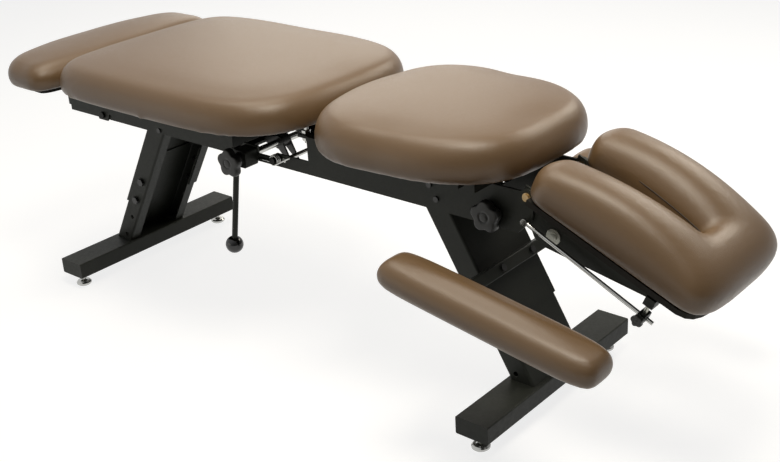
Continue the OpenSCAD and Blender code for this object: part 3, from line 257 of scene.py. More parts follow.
def make_hide_grain():
    group, start, end = new_group("hide grain", [
        ("Vector", "NodeSocketVector", None), ("Scale", "NodeSocketFloat", 420.0),
    ], HEIGHT_OUTPUTS)
    cells = group.nodes.new("ShaderNodeTexVoronoi")
    cells.feature = "DISTANCE_TO_EDGE"
    group.links.new(start.outputs["Vector"], cells.inputs["Vector"])
    group.links.new(start.outputs["Scale"], cells.inputs["Scale"])
    plateau = group.nodes.new("ShaderNodeMapRange")
    plateau.inputs["From Max"].default_value = CREASE_WIDTH
    group.links.new(cells.outputs["Distance"], plateau.inputs["Value"])
    slow_scale = math_node(group, "MULTIPLY", start.outputs["Scale"], SLOW_SHARE)
    slow = noise(group, start.outputs["Vector"], slow_scale)
    group.links.new(math_node(group, "ADD", plateau.outputs["Result"], slow),
                    end.inputs["Height"])
    group.links.new(slow, end.inputs["Mask"])
    return group


pebble = make_pebble()
hide_grain = make_hide_grain()
print("node groups:", [group.name for group in bpy.data.node_groups])

# %% [markdown]
# Every finish is the same small recipe: a colour that drifts, one of the fine heights
# through a Bump node, and a roughness that varies with that height's slower noise. What is
# the same all over, such as metalness, is set on the shader itself.

# %% The finish recipe
BUMP_STRENGTH = 0.6


def placed_group(tree, group, place, scale):
    """A node group in a material, reading Object coordinates at a scale."""
    node = tree.nodes.new("ShaderNodeGroup")
    node.node_tree = group
    node.inputs["Scale"].default_value = scale
    tree.links.new(place, node.inputs["Vector"])
    return node


def finish(name, colour, roughness, grain, grain_scale, depth, drift=0.15, drift_scale=7.0,
           uneven=0.1, metallic=0.0, specular=0.5):
    """A material: colour with drift, roughness with uneven, and a bump of a depth in metres."""
    material = bpy.data.materials.new(name)
    material.use_nodes = True
    tree = material.node_tree
    shader = tree.nodes["Principled BSDF"]
    place = tree.nodes.new("ShaderNodeTexCoord").outputs["Object"]
    tone = placed_group(tree, tone_drift, place, drift_scale)
    tone.inputs["Colour"].default_value = (*colour, 1)
    tone.inputs["Amount"].default_value = drift
    texture = placed_group(tree, grain, place, grain_scale)
    bump = tree.nodes.new("ShaderNodeBump")
    bump.inputs["Distance"].default_value = depth
    bump.inputs["Strength"].default_value = BUMP_STRENGTH
    centred = math_node(tree, "SUBTRACT", texture.outputs["Mask"], 0.5)
    swing = math_node(tree, "MULTIPLY", centred, uneven)
    tree.links.new(tone.outputs["Colour"], shader.inputs["Base Color"])
    tree.links.new(math_node(tree, "ADD", swing, roughness), shader.inputs["Roughness"])
    tree.links.new(texture.outputs["Height"], bump.inputs["Height"])
    tree.links.new(bump.outputs["Normal"], shader.inputs["Normal"])
    shader.inputs["Metallic"].default_value = metallic
    shader.inputs["Specular IOR Level"].default_value = specular
    return material


print("bump strength of every finish:", BUMP_STRENGTH)

# %% [markdown]
# The photograph shows five finishes that matter: brown vinyl with a soft sheen, a black
# powder coat, bright chrome on the rods and feet, yellow zinc on the pivot bolts, and black
# moulded plastic on the knobs. The rest are their quieter relatives. Each line gives colour,
# roughness, grain, the grain's scale and its depth in metres.

# %% Finishes of this table
OXIDE = (0.014, 0.014, 0.013)

finishes = {
    "vinyl": finish("brown vinyl", (0.17, 0.104, 0.051), 0.36, hide_grain, 520.0, 0.00012,
                    drift=0.1, drift_scale=5.0, uneven=0.1, specular=0.55),
    "painted": finish("black powder coat", (0.027, 0.0295, 0.0245), 0.5, pebble, 900.0, 0.00015,
                      drift=0.45, drift_scale=30.0, uneven=0.2, specular=0.2),
    "chrome": finish("bright chrome", (0.5, 0.5, 0.48), 0.16, pebble, 300.0, 0.00001,
                     drift=0.1, drift_scale=20.0, uneven=0.12, metallic=1.0),
    "steel": finish("zinc plated steel", (0.42, 0.42, 0.37), 0.36, pebble, 500.0, 0.00003,
                    drift=0.3, drift_scale=40.0, uneven=0.2, metallic=1.0),
    "brass": finish("yellow zinc", (0.62, 0.46, 0.25), 0.3, pebble, 400.0, 0.00003,
                    drift=0.3, drift_scale=60.0, uneven=0.2, metallic=1.0),
    "plastic": finish("black moulded plastic", (0.03, 0.031, 0.029), 0.42, pebble, 1400.0,
                      0.00006, drift=0.2, drift_scale=20.0, uneven=0.15, specular=0.35),
    "gloss": finish("polished black plastic", (0.008, 0.008, 0.008), 0.06, pebble, 200.0,
                    0.00001, drift=0.1, uneven=0.03, specular=0.6),
    "rubber": finish("black rubber", (0.02, 0.02, 0.02), 0.8, pebble, 900.0, 0.0001, drift=0.3),
    # The boards are near black: partly their own dark cover, partly painted shade under the cushions' edges.
    "board": finish("stained plywood", (0.02, 0.018, 0.015), 0.7, pebble, 250.0, 0.0002,
                    drift=0.5, drift_scale=18.0, specular=0.2),
}
# The seam's near-black thread is partly the seam, partly painted shade of the narrow slit.
thread_painted_as_slit_shade = finish("seam thread", (0.035, 0.022, 0.013), 0.6, pebble, 1500.0, 0.0001, drift=0.3)
black_bolts = finish("black oxide", OXIDE, 0.4, pebble, 500.0, 0.00003, drift=0.3,
                     drift_scale=60.0, uneven=0.15)
print("finishes:", len(finishes), "and two more:", thread_painted_as_slit_shade.name, "and", black_bolts.name)

# %% [markdown]
# Each CAD node has a slot in the record, and the slot names its finish. Two nodes hold small
# parts of two kinds: pivot bolts are yellow at the head end and black at the rear, and pins
# are bright only ahead of the spring's post. Their material reads Object x, which is the
# place along the table, and switches its colour there.

# %% Dressing the CAD nodes
SPRING_END_TO_POST = 0.0675
SPRING_POST_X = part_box("torsion_spring")[0].x + SPRING_END_TO_POST
TABLE_MIDDLE_X = 0.0


def two_tone(slot, split_x):
    """A slot's finish ahead of a place along the table and black oxide behind it."""
    material = finishes[slot].copy()
    tree = material.node_tree
    shader = tree.nodes["Principled BSDF"]
    place = next(node for node in tree.nodes if node.type == "TEX_COORD").outputs["Object"]
    axes = tree.nodes.new("ShaderNodeSeparateXYZ")
    tree.links.new(place, axes.inputs[0])
    mix = tree.nodes.new("ShaderNodeMix")
    mix.data_type = "RGBA"
    dark, bright = [socket for socket in mix.inputs if socket.type == "RGBA"]
    dark.default_value = (*OXIDE, 1)
    tree.links.new(shader.inputs["Base Color"].links[0].from_socket, bright)
    ahead = math_node(tree, "GREATER_THAN", axes.outputs["X"], split_x)
    tree.links.new(ahead, mix.inputs["Factor"])
    mixed = next(socket for socket in mix.outputs if socket.type == "RGBA")
    tree.links.new(mixed, shader.inputs["Base Color"])
    return material


def dress_frame():
    """Gives each CAD node the finish of the record's slot for it, and returns how many got one."""
    slots = {part["node"]: part["material_slot"] for part in frame["record"]["subparts"]}
    special = {
        "frame_bolts": black_bolts,
        "lift_cam": black_bolts,
        "pivot_bolts": two_tone("brass", TABLE_MIDDLE_X),
        "frame_pins": two_tone("chrome", SPRING_POST_X),
    }
    for name, part in nodes.items():
        material = special.get(name, finishes[slots[name]])
        if not part.material_slots:
            part.data.materials.append(material)
        for holder in part.material_slots:
            holder.material = material
    return len(slots)


print("nodes dressed:", dress_frame())

# %% [markdown]
# A treatment cushion is a board, a thick foam block and vinyl pulled tight round both. Its
# plan is a superellipse, a rounded rectangle whose roundness is one number for each end. Its
# section bulges out to a widest line about a third of the way up, tucks in below towards the
# board, and rolls over into a lightly crowned top.

# %% Shape of a cushion
AROUND = 160
BULGE_AT = 0.36
TUCK_RINGS, ROLL_RINGS = 8, 15
TOP_SHARES = (0.85, 0.7, 0.55, 0.4, 0.25, 0.1)


def plan_ring(half_length, half_width, roundness, taper):
    """Superellipse: x = a cos^(2/n) and y = b sin^(2/n), with n for each end, and b growing
    along x by the taper."""
    angle = np.arange(AROUND) * 2 * math.pi / AROUND
    c, s = np.cos(angle), np.sin(angle)
    n = np.where(c < 0, roundness[0], roundness[1])
    return np.stack([half_length * signed_power(c, 2 / n),
                     half_width * (1 + taper * c) * signed_power(s, 2 / n)], axis=-1)


def level_ring(half_length, half_width, roundness, taper, level):
    """A plan ring at one height."""
    plan = plan_ring(half_length, half_width, roundness, taper)
    return np.column_stack([plan, np.full(AROUND, level)])


def cushion_section(height, board_in, pocket, edge, under, crown):
    """Inset and height of each ring: the pocket under the board's edge, then two quarter
    ellipses, one out to the widest line and one from there in to the top's edge."""
    widest, shoulder = height * BULGE_AT, height - crown
    low = np.linspace(-math.pi / 2, 0, TUCK_RINGS + 1)[:-1]
    high = np.linspace(0, math.pi / 2, ROLL_RINGS)
    inset = np.concatenate([[board_in, board_in], under * (1 - np.cos(low)),
                            edge * (1 - np.cos(high))])
    level = np.concatenate([[pocket, 0.0], widest * (1 + np.sin(low)),
                            widest + (shoulder - widest) * np.sin(high)])
    return inset, level


def cushion_rings(half_length, half_width, height, board_in, pocket, roundness, taper, edge,
                  under, crown):
    """Rings of the whole skin: the section's, then those of the top, which rises as 1 - s * s."""
    inset, level = cushion_section(height, board_in, pocket, edge, under, crown)
    sides = [level_ring(half_length - i, half_width - i, roundness, taper, z)
             for i, z in zip(inset, level)]
    top = [level_ring(s * (half_length - edge), s * (half_width - edge), roundness, taper,
                      height - crown * s * s) for s in TOP_SHARES]
    return np.array(sides + top)


print("rings of a cushion:", 2 + TUCK_RINGS + ROLL_RINGS + len(TOP_SHARES))

# %% [markdown]
# A mesh's points are read and written as one array, which is far quicker than one at a time.
# A modifier's result is worked in by taking the evaluated mesh. Averaging moves each point
# half way to the mean of its neighbours: np.bincount adds up the neighbours of all points at
# once, from the list of edges.

# %% Points, modifiers and averaging
def vertex_array(mesh):
    flat = np.empty(len(mesh.vertices) * 3)
    mesh.vertices.foreach_get("co", flat)
    return flat.reshape(-1, 3)


def store_vertices(mesh, points):
    mesh.vertices.foreach_set("co", points.ravel())
    mesh.update()


def applied(made):
    """The mesh of a piece with its modifiers worked in, and the piece left without them."""
    graph = bpy.context.evaluated_depsgraph_get()
    mesh = bpy.data.meshes.new_from_object(made.evaluated_get(graph))
    mesh.name = made.name
    made.modifiers.clear()
    made.data = mesh
    return mesh


def averaged(mesh, values, rounds, held):
    """Moves each free point's three values half way to its neighbours' mean, in rounds."""
    ends = np.empty(len(mesh.edges) * 2, np.int64)
    mesh.edges.foreach_get("vertices", ends)
    a, b = ends.reshape(-1, 2).T
    here, there = np.concatenate([a, b]), np.concatenate([b, a])
    count = np.maximum(np.bincount(here, minlength=len(values)), 1)[:, None]
    for _ in range(rounds):
        total = np.stack([np.bincount(here, column[there], len(values)) for column in values.T],
                         axis=-1)
        values = np.where(held[:, None], values, (values + total / count) / 2)
    return values


def remeshed(made, cell):
    """The piece's mesh made anew of even cells."""
    modifier = made.modifiers.new("even cells", "REMESH")
    modifier.mode = "VOXEL"
    modifier.voxel_size = cell
    return applied(made)


print("points of the CAD model:", sum(len(vertex_array(part.data)) for part in nodes.values()))

# %% [markdown]
# Foam under tight vinyl is a small physics problem: the skin stretches, the inside pushes
# out. So each cushion starts a few millimetres small, is remeshed into even cells and is
# blown up by Cloth with pressure and no gravity, held still where it lies on its board. Cloth
# this fine also wrinkles and buckles, which tight vinyl over firm foam doesn't do. So the
# movement is eased into a cap, which keeps every point in the room the CAD model gives it,
# and averaged over its neighbours, which leaves the swelling and takes the wrinkles out.

# %% Cushions blown up by cloth simulation
PRESSURE, STEPS, QUALITY = 4.0, 20, 4
STRETCH_STIFFNESS, BEND_STIFFNESS = 25.0, 2.0
FIRST_ROUNDS, CALM_ROUNDS, LAST_ROUNDS = 3, 60, 2
NO_LENGTH = 1e-9


def inflated(made, held):
    """Runs Cloth for STEPS frames, with the held points pinned, and returns the new mesh."""
    pins = made.vertex_groups.new(name="on the board")
    pins.add(np.flatnonzero(held).tolist(), 1.0, "REPLACE")
    cloth = made.modifiers.new("inflate", "CLOTH")
    settings = cloth.settings
    settings.use_pressure = True
    settings.uniform_pressure_force = PRESSURE
    settings.effector_weights.gravity = 0.0
    settings.vertex_group_mass = pins.name
    settings.quality = QUALITY
    settings.tension_stiffness = settings.compression_stiffness = STRETCH_STIFFNESS
    settings.bending_stiffness = BEND_STIFFNESS
    cloth.collision_settings.use_self_collision = False
    scene = bpy.context.scene
    for step in range(1, STEPS + 1):
        scene.frame_set(step)
    mesh = applied(made)
    scene.frame_set(1)
    made.vertex_groups.clear()
    return mesh


def puffed(made, cell, cap, held_below):
    """Remesh, inflate, and ease each point's movement to cap * tanh(length / cap).
    held_below is the level under which points are pinned, in the cushion's own frame."""
    mesh = remeshed(made, cell)
    start = vertex_array(mesh)
    held = start[:, 2] < held_below
    store_vertices(mesh, averaged(mesh, start, FIRST_ROUNDS, held))
    start = vertex_array(mesh)
    mesh = inflated(made, held)
    move = vertex_array(mesh) - start
    length = np.linalg.norm(move, axis=1, keepdims=True)
    eased = cap * np.tanh(length / cap)
    move = averaged(mesh, move * eased / np.maximum(length, NO_LENGTH), CALM_ROUNDS, held)
    store_vertices(mesh, start + move)
    print(made.name, "most moved:", round(float(length.max()) * 1000, 1), "mm")
    store_vertices(mesh, averaged(mesh, vertex_array(mesh), LAST_ROUNDS, held))
    mesh.polygons.foreach_set("use_smooth", np.ones(len(mesh.polygons), bool))
    fuller = made.modifiers.new("rounder", "SUBSURF")
    fuller.levels = fuller.render_levels = 1


print("cloth runs for", STEPS, "frames at pressure", PRESSURE)

# %% [markdown]
# After the simulation a cushion is stretched a little, so that its box is the one it has in
# the CAD model, turned into its place, and given its vinyl. It rides on the body that carries
# it, and replaces the CAD model's plain solid.

# %% Fitting and covering
def turned(made, matrix3, origin):
    """Puts a cushion made in its own frame into the table's frame, in its mesh."""
    points = vertex_array(made.data) @ np.array(matrix3).T + np.array(origin)
    store_vertices(made.data, points)


def fitted(made, low, high):
    """Stretches a cushion, still in its own frame, so that its box is the one given."""
    points = vertex_array(made.data)
    was_low, was_high = points.min(0), points.max(0)
    points = low + (points - was_low) * (high - low) / (was_high - was_low)
    store_vertices(made.data, points)


def upholster(made, body, node):
    made.data.materials.clear()
    made.data.materials.append(finishes["vinyl"])
    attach(made, body)
    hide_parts(node)
    print(made.name, "points:", len(made.data.vertices))


print("cushions are covered with:", finishes["vinyl"].name)

# %% [markdown]
# The pelvic, chest and ankle cushions lie level. Their outer size is read from the frame's
# own boxes, and only what a box can't tell, such as the roundness of a corner, is written
# here. The chest cushion is the odd one: its rear is nearly an ellipse, and its head end is
# narrow and blunt, to leave the shoulders free.

# %% Level cushions
# How much smaller a cushion starts, and how far a point may move at most, in metres.
START_SMALL = 0.004
MOST_MOVED = START_SMALL * 1.6
BOARD_IN = 0.0447
LEVEL_HELD_BELOW = 0.004


def cushion_half_width(widest, roundness, taper):
    """The half width at the middle whose tapered outline is as wide as the box."""
    return widest / plan_ring(1.0, 1.0, roundness, taper)[:, 1].max()


def level_cushion(node, body, cell, pocket, roundness, taper, edge, under, crown):
    low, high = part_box(node)
    half_length = (high.x - low.x) / 2 - START_SMALL
    half_width = cushion_half_width(high.y, roundness, taper) - START_SMALL
    rings = cushion_rings(half_length, half_width, high.z - low.z - START_SMALL, BOARD_IN,
                          pocket, roundness, taper, edge, under, crown)
    made = piece(node.replace("_cushion", "_pad"), shell_mesh(node, rings))
    puffed(made, cell, MOST_MOVED, LEVEL_HELD_BELOW)
    fitted(made, np.array(low), np.array(high))
    upholster(made, body, node)


level_cushion("pelvic_cushion", "pelvic_section", cell=0.008, pocket=0.0023,
              roundness=(5.7, 3.6), taper=0.0, edge=0.031, under=0.005, crown=0.004)
level_cushion("chest_cushion", "frame", cell=0.007, pocket=0.0143,
              roundness=(2.3, 3.8), taper=-0.2, edge=0.035, under=0.011, crown=0.007)
level_cushion("ankle_cushion", "ankle_rest", cell=0.006, pocket=0.0033,
              roundness=(2.7, 5.0), taper=0.07, edge=0.037, under=0.008, crown=0.003)

# %% [markdown]
# The armrests are the same cushion made long and narrow, turned by the slope that each one
# stands at. Their joints give the place of the hinge, and the slopes are the armrests' own.

# %% Armrest pads
ARM_HALF_LENGTH, ARM_HALF_WIDTH, ARM_HEIGHT = 0.227, 0.050, 0.059
ARM_AHEAD, ARM_RISE, ARM_OUT = 0.152, 0.065, 0.305
ARM_SLOPES = {"near": 9.0, "far": 15.0}
SMALL_CELL, SMALL_HELD_BELOW = 0.005, 0.003


def sloped(degrees):
    """Rotation about Y that lowers +X by an angle, as a matrix."""
    a = math.radians(degrees)
    return np.array([[math.cos(a), 0, math.sin(a)], [0, 1, 0], [-math.sin(a), 0, math.cos(a)]])


def armrest_pad(side, sign):
    rings = cushion_rings(ARM_HALF_LENGTH - START_SMALL, ARM_HALF_WIDTH - START_SMALL,
                          ARM_HEIGHT - START_SMALL, board_in=ARM_HALF_WIDTH / 3, pocket=0.001,
                          roundness=(6.0, 5.5), taper=0.0, edge=0.030, under=0.009, crown=0.006)
    made = piece(side + "_armrest_pad", shell_mesh(side, rings))
    puffed(made, SMALL_CELL, MOST_MOVED, SMALL_HELD_BELOW)
    half = np.array([ARM_HALF_LENGTH, ARM_HALF_WIDTH, ARM_HEIGHT / 2])
    middle = np.array([ARM_AHEAD, sign * ARM_OUT, ARM_RISE + ARM_HEIGHT / 2])
    fitted(made, middle - half, middle + half)
    hinge = joints[side + "_armrest_tilt"]["pos_m"]
    turned(made, sloped(ARM_SLOPES[side]), (hinge[0], 0.0, hinge[2]))
    upholster(made, side + "_armrest", side + "_arm_pad")


armrest_pad("near", -1)
armrest_pad("far", 1)

# %% [markdown]
# The head cushion is a horseshoe with a tapered slot for the face. It is one tube of foam
# whose middle runs up one prong, round the crown of the head and back down the other. Each
# station on that path has an outer and an inner edge in plan. This cell gives those two
# edges, the rounding of the prongs' tips, and the arch of the top, which is highest under
# the cheeks.

# %% Outline of the head cushion
HEAD_TIP, HEAD_LENGTH, HEAD_HALF = 0.005, 0.390, 0.153
HEAD_BOTTOM, HEAD_HEIGHT, HEAD_WIDEST = 0.027, 0.103, 0.032
SLOT_HALF, SLOT_LENGTH, SLOT_END, SLOT_TAPER = 0.034, 0.270, 0.007, 1.6
HEAD_CORNER, HEAD_ROUND_SHARE = 3.9, 0.5
HEAD_ROUND_FROM = HEAD_TIP + HEAD_LENGTH - HEAD_HALF * HEAD_ROUND_SHARE
ARCH_AT, ARCH_REACH, ARCH_FRONT, ARCH_BACK = 0.193, 0.150, 0.024, 0.021
TIP_LEAST = 0.06


def head_outer(t, inset):
    """Outer edge at station t: straight to where the crown's rounding starts, then a
    superellipse."""
    reach = HEAD_TIP + HEAD_LENGTH - inset
    a = math.pi * np.clip(t - 0.5, 0, 0.5)
    straight = HEAD_TIP + (HEAD_ROUND_FROM - HEAD_TIP) * 2 * t
    crown = HEAD_ROUND_FROM + (reach - HEAD_ROUND_FROM) * np.sin(a) ** (2 / HEAD_CORNER)
    across = (HEAD_HALF - inset) * np.maximum(np.cos(a), 0) ** (2 / HEAD_CORNER)
    return np.where(t < 0.5, straight, crown), across


def head_inner(t, inset):
    """Slot edge at station t: a taper that narrows faster and faster, then a half circle."""
    turn = HEAD_TIP + SLOT_LENGTH - SLOT_END
    a = math.pi * np.clip(t - 0.5, 0, 0.5)
    along = np.where(t < 0.5, HEAD_TIP + (turn - HEAD_TIP) * 2 * t,
                     turn + (SLOT_END + inset) * np.sin(a))
    tapered = SLOT_HALF + (SLOT_END - SLOT_HALF) * (2 * t) ** SLOT_TAPER + inset
    across = np.where(t < 0.5, tapered, (SLOT_END + inset) * np.maximum(np.cos(a), 0))
    return along, across


def tip_share(t, reach):
    """How far a prong has opened at station t: a quarter circle over a distance from its tip."""
    q = np.minimum((HEAD_ROUND_FROM - HEAD_TIP) * 2 * t / reach, 1)
    return np.maximum(np.sqrt(np.maximum(1 - (1 - q) ** 2, 0)), TIP_LEAST)


def head_arch(along, height):
    """Height of the top: it falls with the square of the distance from the arch's peak."""
    q = (along - ARCH_AT) / ARCH_REACH
    return height - np.where(q > 0, ARCH_FRONT, ARCH_BACK) * q * q


print("rounding of the crown starts at:", round(HEAD_ROUND_FROM, 4), "m")

# %% [markdown]
# Between the two edges each station has a section that is nearly flat below and rounded
# above. It is a superellipse whose power differs from side to side: near 1 on the side that
# rolls into the slot, which makes it round, and smaller elsewhere, which makes it fuller.

# %% Sections of the head cushion
TIP_WIDE, TIP_HIGH, TIP_RISE = 0.046, 0.044, 0.2
PRONG_STATIONS, CROWN_STATIONS = 24, 25
HEAD_AROUND = 48
UNDER_POWER, SLOT_POWER, SIDE_POWER, TOP_POWER = 0.45, 0.95, 0.73, 0.87
HEAD_TURN = -math.pi / 2 + np.arange(HEAD_AROUND) * 2 * math.pi / HEAD_AROUND


def head_stations():
    """Stations 0 to 1 and back, closer together at the tips, and -1 or 1 for the two prongs."""
    prong = 0.5 - 0.5 * np.cos(np.linspace(0, math.pi / 2, PRONG_STATIONS))
    t = np.concatenate([prong, np.linspace(0.5, 1, CROWN_STATIONS)[1:]])
    t = np.concatenate([t, t[-2::-1]])
    return t, np.sign(np.arange(len(t)) - len(t) // 2 + 0.5)


def horseshoe_rings(height, shrink, a=HEAD_TURN):
    """Section rings along the horseshoe. At angle a the section is w cos^p across and h sin^q
    up, where w is half the distance between the edges and h reaches the arch."""
    t, side = head_stations()
    outer_x, outer_y = head_outer(t, shrink)
    inner_x, inner_y = head_inner(t, shrink)
    up = TIP_RISE + (1 - TIP_RISE) * tip_share(t, TIP_HIGH)[:, None]
    low = np.sin(a) < 0
    across_power = np.where(low, UNDER_POWER, np.where(np.cos(a) < 0, SLOT_POWER, SIDE_POWER))
    swing = signed_power(np.cos(a), across_power)
    lift = signed_power(np.sin(a), np.where(low, UNDER_POWER, TOP_POWER))
    s = tip_share(t, TIP_WIDE)[:, None] * swing
    x = (outer_x + inner_x)[:, None] / 2 + s * (outer_x - inner_x)[:, None] / 2
    half_y = (outer_y + inner_y)[:, None] / 2 + s * (outer_y - inner_y)[:, None] / 2
    above = HEAD_WIDEST + (head_arch(x, height) - HEAD_WIDEST) * up * lift
    z = np.where(low, HEAD_WIDEST * (1 + lift), above)
    return np.stack([x, side[:, None] * half_y, np.maximum(z, 0)], axis=-1)


print("stations along the horseshoe:", len(head_stations()[0]))

# %% [markdown]
# The horseshoe is blown up like the other cushions, stretched to its own length, width and
# height, and turned by the slope that the head section stands at, about the joint's axis.

# %% Head cushion
HEAD_SLOPE = 23.4


def head_cushion():
    rings = horseshoe_rings(HEAD_HEIGHT - START_SMALL, START_SMALL)
    made = piece("head_pad", shell_mesh("head", rings))
    puffed(made, SMALL_CELL, MOST_MOVED, SMALL_HELD_BELOW)
    fitted(made, np.array([HEAD_TIP, -HEAD_HALF, HEAD_BOTTOM]),
           np.array([HEAD_TIP + HEAD_LENGTH, HEAD_HALF, HEAD_BOTTOM + HEAD_HEIGHT]))
    turned(made, sloped(HEAD_SLOPE), joints["head_tilt"]["pos_m"])
    upholster(made, "head_section", "head_cushion")
    return made


head_pad = head_cushion()

# %% [markdown]
# Round wires are swept: a small ring is carried along a path, square to it. The table needs
# two, a seam and a spring, and neither path ever runs along Y, so the cross product with Y
# gives each ring its first axis without any twist.

# %% Wires along a path
TIP_NARROWED = 0.5


def swept(name, path, radius, sides=16):
    """Rings of a radius square to a path: one axis is heading x Y and the other is square to
    both. The first and last ring are drawn in, which rounds the ends."""
    heading = np.gradient(path, axis=0)
    heading /= np.linalg.norm(heading, axis=1, keepdims=True)
    u = np.cross(heading, [0.0, 1.0, 0.0])
    u /= np.linalg.norm(u, axis=1, keepdims=True)
    w = np.cross(heading, u)
    width = np.full(len(path), radius)
    width[[0, -1]] *= TIP_NARROWED
    a = np.arange(sides) * 2 * math.pi / sides
    spokes = np.cos(a)[None, :, None] * u[:, None] + np.sin(a)[None, :, None] * w[:, None]
    return shell_mesh(name, path[:, None] + width[:, None, None] * spokes)


print("a wire's ends are drawn in to", TIP_NARROWED, "of its radius")

# %% [markdown]
# The slot's wall is a strip of its own, sewn to the top panel, so a fine seam runs round the
# slot below its rim. Its thread is near black: partly the seam itself, partly painted shade
# that stands for the dark of the narrow slit. Its line is the section's point at one angle,
# from ring to ring. The foam has swollen since that formula was used, so a Shrinkwrap
# modifier first lays the line on the finished cushion.

# %% Seam of the face slot
SEAM_TURN, SEAM_SKIP = math.radians(164), 15
SEAM_RADIUS, SEAM_OFF_SKIN, SEAM_SIDES = 0.0011, 0.0002, 10


def laid_on(points, target, offset):
    """The points moved to the nearest place on a piece's surface."""
    mesh = bpy.data.meshes.new("line")
    mesh.from_pydata(points.tolist(), [], [])
    line = piece("line", mesh)
    wrap = line.modifiers.new("lay on", "SHRINKWRAP")
    wrap.target = target
    wrap.offset = offset
    placed = vertex_array(applied(line))
    bpy.data.objects.remove(line)
    return placed


def slot_seam():
    """The line at SEAM_TURN round the section, past the first SEAM_SKIP rings of each prong."""
    rings = horseshoe_rings(HEAD_HEIGHT, 0.0, np.array([SEAM_TURN]))
    line = rings[SEAM_SKIP:-SEAM_SKIP, 0]
    line[:, 2] += HEAD_BOTTOM
    line = line @ sloped(HEAD_SLOPE).T + np.array(joints["head_tilt"]["pos_m"])
    bpy.context.view_layer.update()
    path = laid_on(line, head_pad, SEAM_OFF_SKIN)
    made = piece("slot_seam", swept("slot_seam", path, SEAM_RADIUS, SEAM_SIDES))
    made.data.materials.append(thread_painted_as_slit_shade)
    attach(made, "head_section")
    return made


print("seam points:", len(slot_seam().data.vertices))

# %% [markdown]
# The moulded knobs have five soft lobes. One formula covers the round neck and the lobed
# head: each ring is a circle whose radius is lowered between the lobes, by a share that is
# nothing at the neck and the hub and full at the rim. The rim itself is rounded, and a fine
# round groove marks the hub.

# %% Shape of a star knob
LOBES, LOBE_DEPTH, LOBE_LEAN = 5, 0.19, math.radians(20)
KNOB_AROUND, RIM_RINGS = 120, 17
RIM_SHARE, RIM_POWER, VALLEY_POWER = 0.2, 0.7, 1.3


def star_profile(radius, height, neck):
    """Rows of share of the radius, level, and how much of the lobes: the neck, the rim as a
    rounded half turn, and the hub."""
    turn = np.linspace(-math.pi / 2, math.pi / 2, RIM_RINGS)
    rim_level = neck + height * (0.5 + 0.5 * signed_power(np.sin(turn), RIM_POWER))
    rim = np.stack([1 - RIM_SHARE + RIM_SHARE * np.cos(turn) ** RIM_POWER, rim_level,
                    np.ones(RIM_RINGS)], axis=-1)
    top = neck + height
    back = np.array([[0.38, 0.0, 0], [0.42, 0.04 * neck, 0], [0.42, neck, 0], [0.6, neck, 0.5]])
    front = np.array([
        [0.66, top + 0.010 * radius, 0.8],
        [0.48, top + 0.014 * radius, 0.4],
        [0.33, top + 0.014 * radius, 0],
        [0.315, top - 0.01 * radius, 0],
        [0.28, top - 0.01 * radius, 0],
        [0.265, top + 0.014 * radius, 0],
        [0.12, top + 0.03 * radius, 0],
    ])
    return np.concatenate([back, rim, front]).T


def star_rings(radius, height, neck):
    """Rings of the profile about Y. At angle a the radius is the row's share times
    1 - lobed * depth * valley, where the valley is a power of (1 - cos 5a) / 2."""
    share, level, lobed = star_profile(radius, height, neck)
    a = np.arange(KNOB_AROUND) * 2 * math.pi / KNOB_AROUND
    valley = (0.5 - 0.5 * np.cos(LOBES * (a - LOBE_LEAN))) ** VALLEY_POWER
    r = radius * share[:, None] * (1 - LOBE_DEPTH * lobed[:, None] * valley)
    depth = np.broadcast_to(-level[:, None], r.shape)
    return np.stack([r * np.cos(a), depth, r * np.sin(a)], axis=-1)


print("lobes:", LOBES, "points round a knob:", KNOB_AROUND)

# %% [markdown]
# The table has two large star knobs and a small one on the rod's clamp. Each stands on the
# axis of its own joint, so that it turns in place. The small one's screw reaches through to
# the rod, and is two more rings behind the neck.

# %% Star knobs
STAR_RADIUS, STAR_HEIGHT, STAR_NECK = 0.0325, 0.018, 0.003
CLAMP_RADIUS, CLAMP_HEIGHT = 0.012, 0.010
SCREW_RADIUS, SCREW_LENGTH = 0.003, 0.0053


def with_screw(rings):
    """A knob's rings with two more before them, for a plain round screw out of its back."""
    a = np.arange(KNOB_AROUND) * 2 * math.pi / KNOB_AROUND
    stem = np.stack([SCREW_RADIUS * np.cos(a), np.zeros(KNOB_AROUND), SCREW_RADIUS * np.sin(a)],
                    axis=-1)
    return np.concatenate([[stem + [0, SCREW_LENGTH, 0]], [stem], rings])


def star_knob(node, rings, back_y):
    """A knob on the axis of its own joint, with its back at back_y."""
    at = joints[node + "_turn"]["pos_m"]
    mesh = shell_mesh(node, rings + np.array([at[0], back_y, at[2]]))
    made = piece(node + "_moulding", mesh)
    made.data.materials.append(finishes["plastic"])
    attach(made, node)
    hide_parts(node)
    print(made.name, "points:", len(mesh.vertices))


for star_node in ("tension_knob", "front_knob"):
    star_knob(star_node, star_rings(STAR_RADIUS, STAR_HEIGHT, STAR_NECK),
              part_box(star_node)[1].y)
star_knob("clamp_knob", with_screw(star_rings(CLAMP_RADIUS, CLAMP_HEIGHT, STAR_NECK)),
          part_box("clamp_knob")[1].y - SCREW_LENGTH)

# %% [markdown]
# The torsion spring is one wire: a straight leg, three turns round its post, and a second
# straight leg. Its line is a helix between two straight lines that leave it at a tangent.

# %% Torsion spring
WIRE_RADIUS, COIL_RADIUS, COIL_PITCH = 0.00175, 0.01025, 0.0041
COIL_TURNS, COIL_POINTS, RIGHT_LEG_RISE = 3, 150, math.radians(28)
LEFT_LEG, RIGHT_LEG = 0.056, 0.054
LEG_SHARES = np.array([[1.0], [0.99], [0.7], [0.4], [0.1]])
# The height of the coil's axis, and the y at which its first turn starts.
COIL_HEIGHT, COIL_START = 0.416, -0.09805


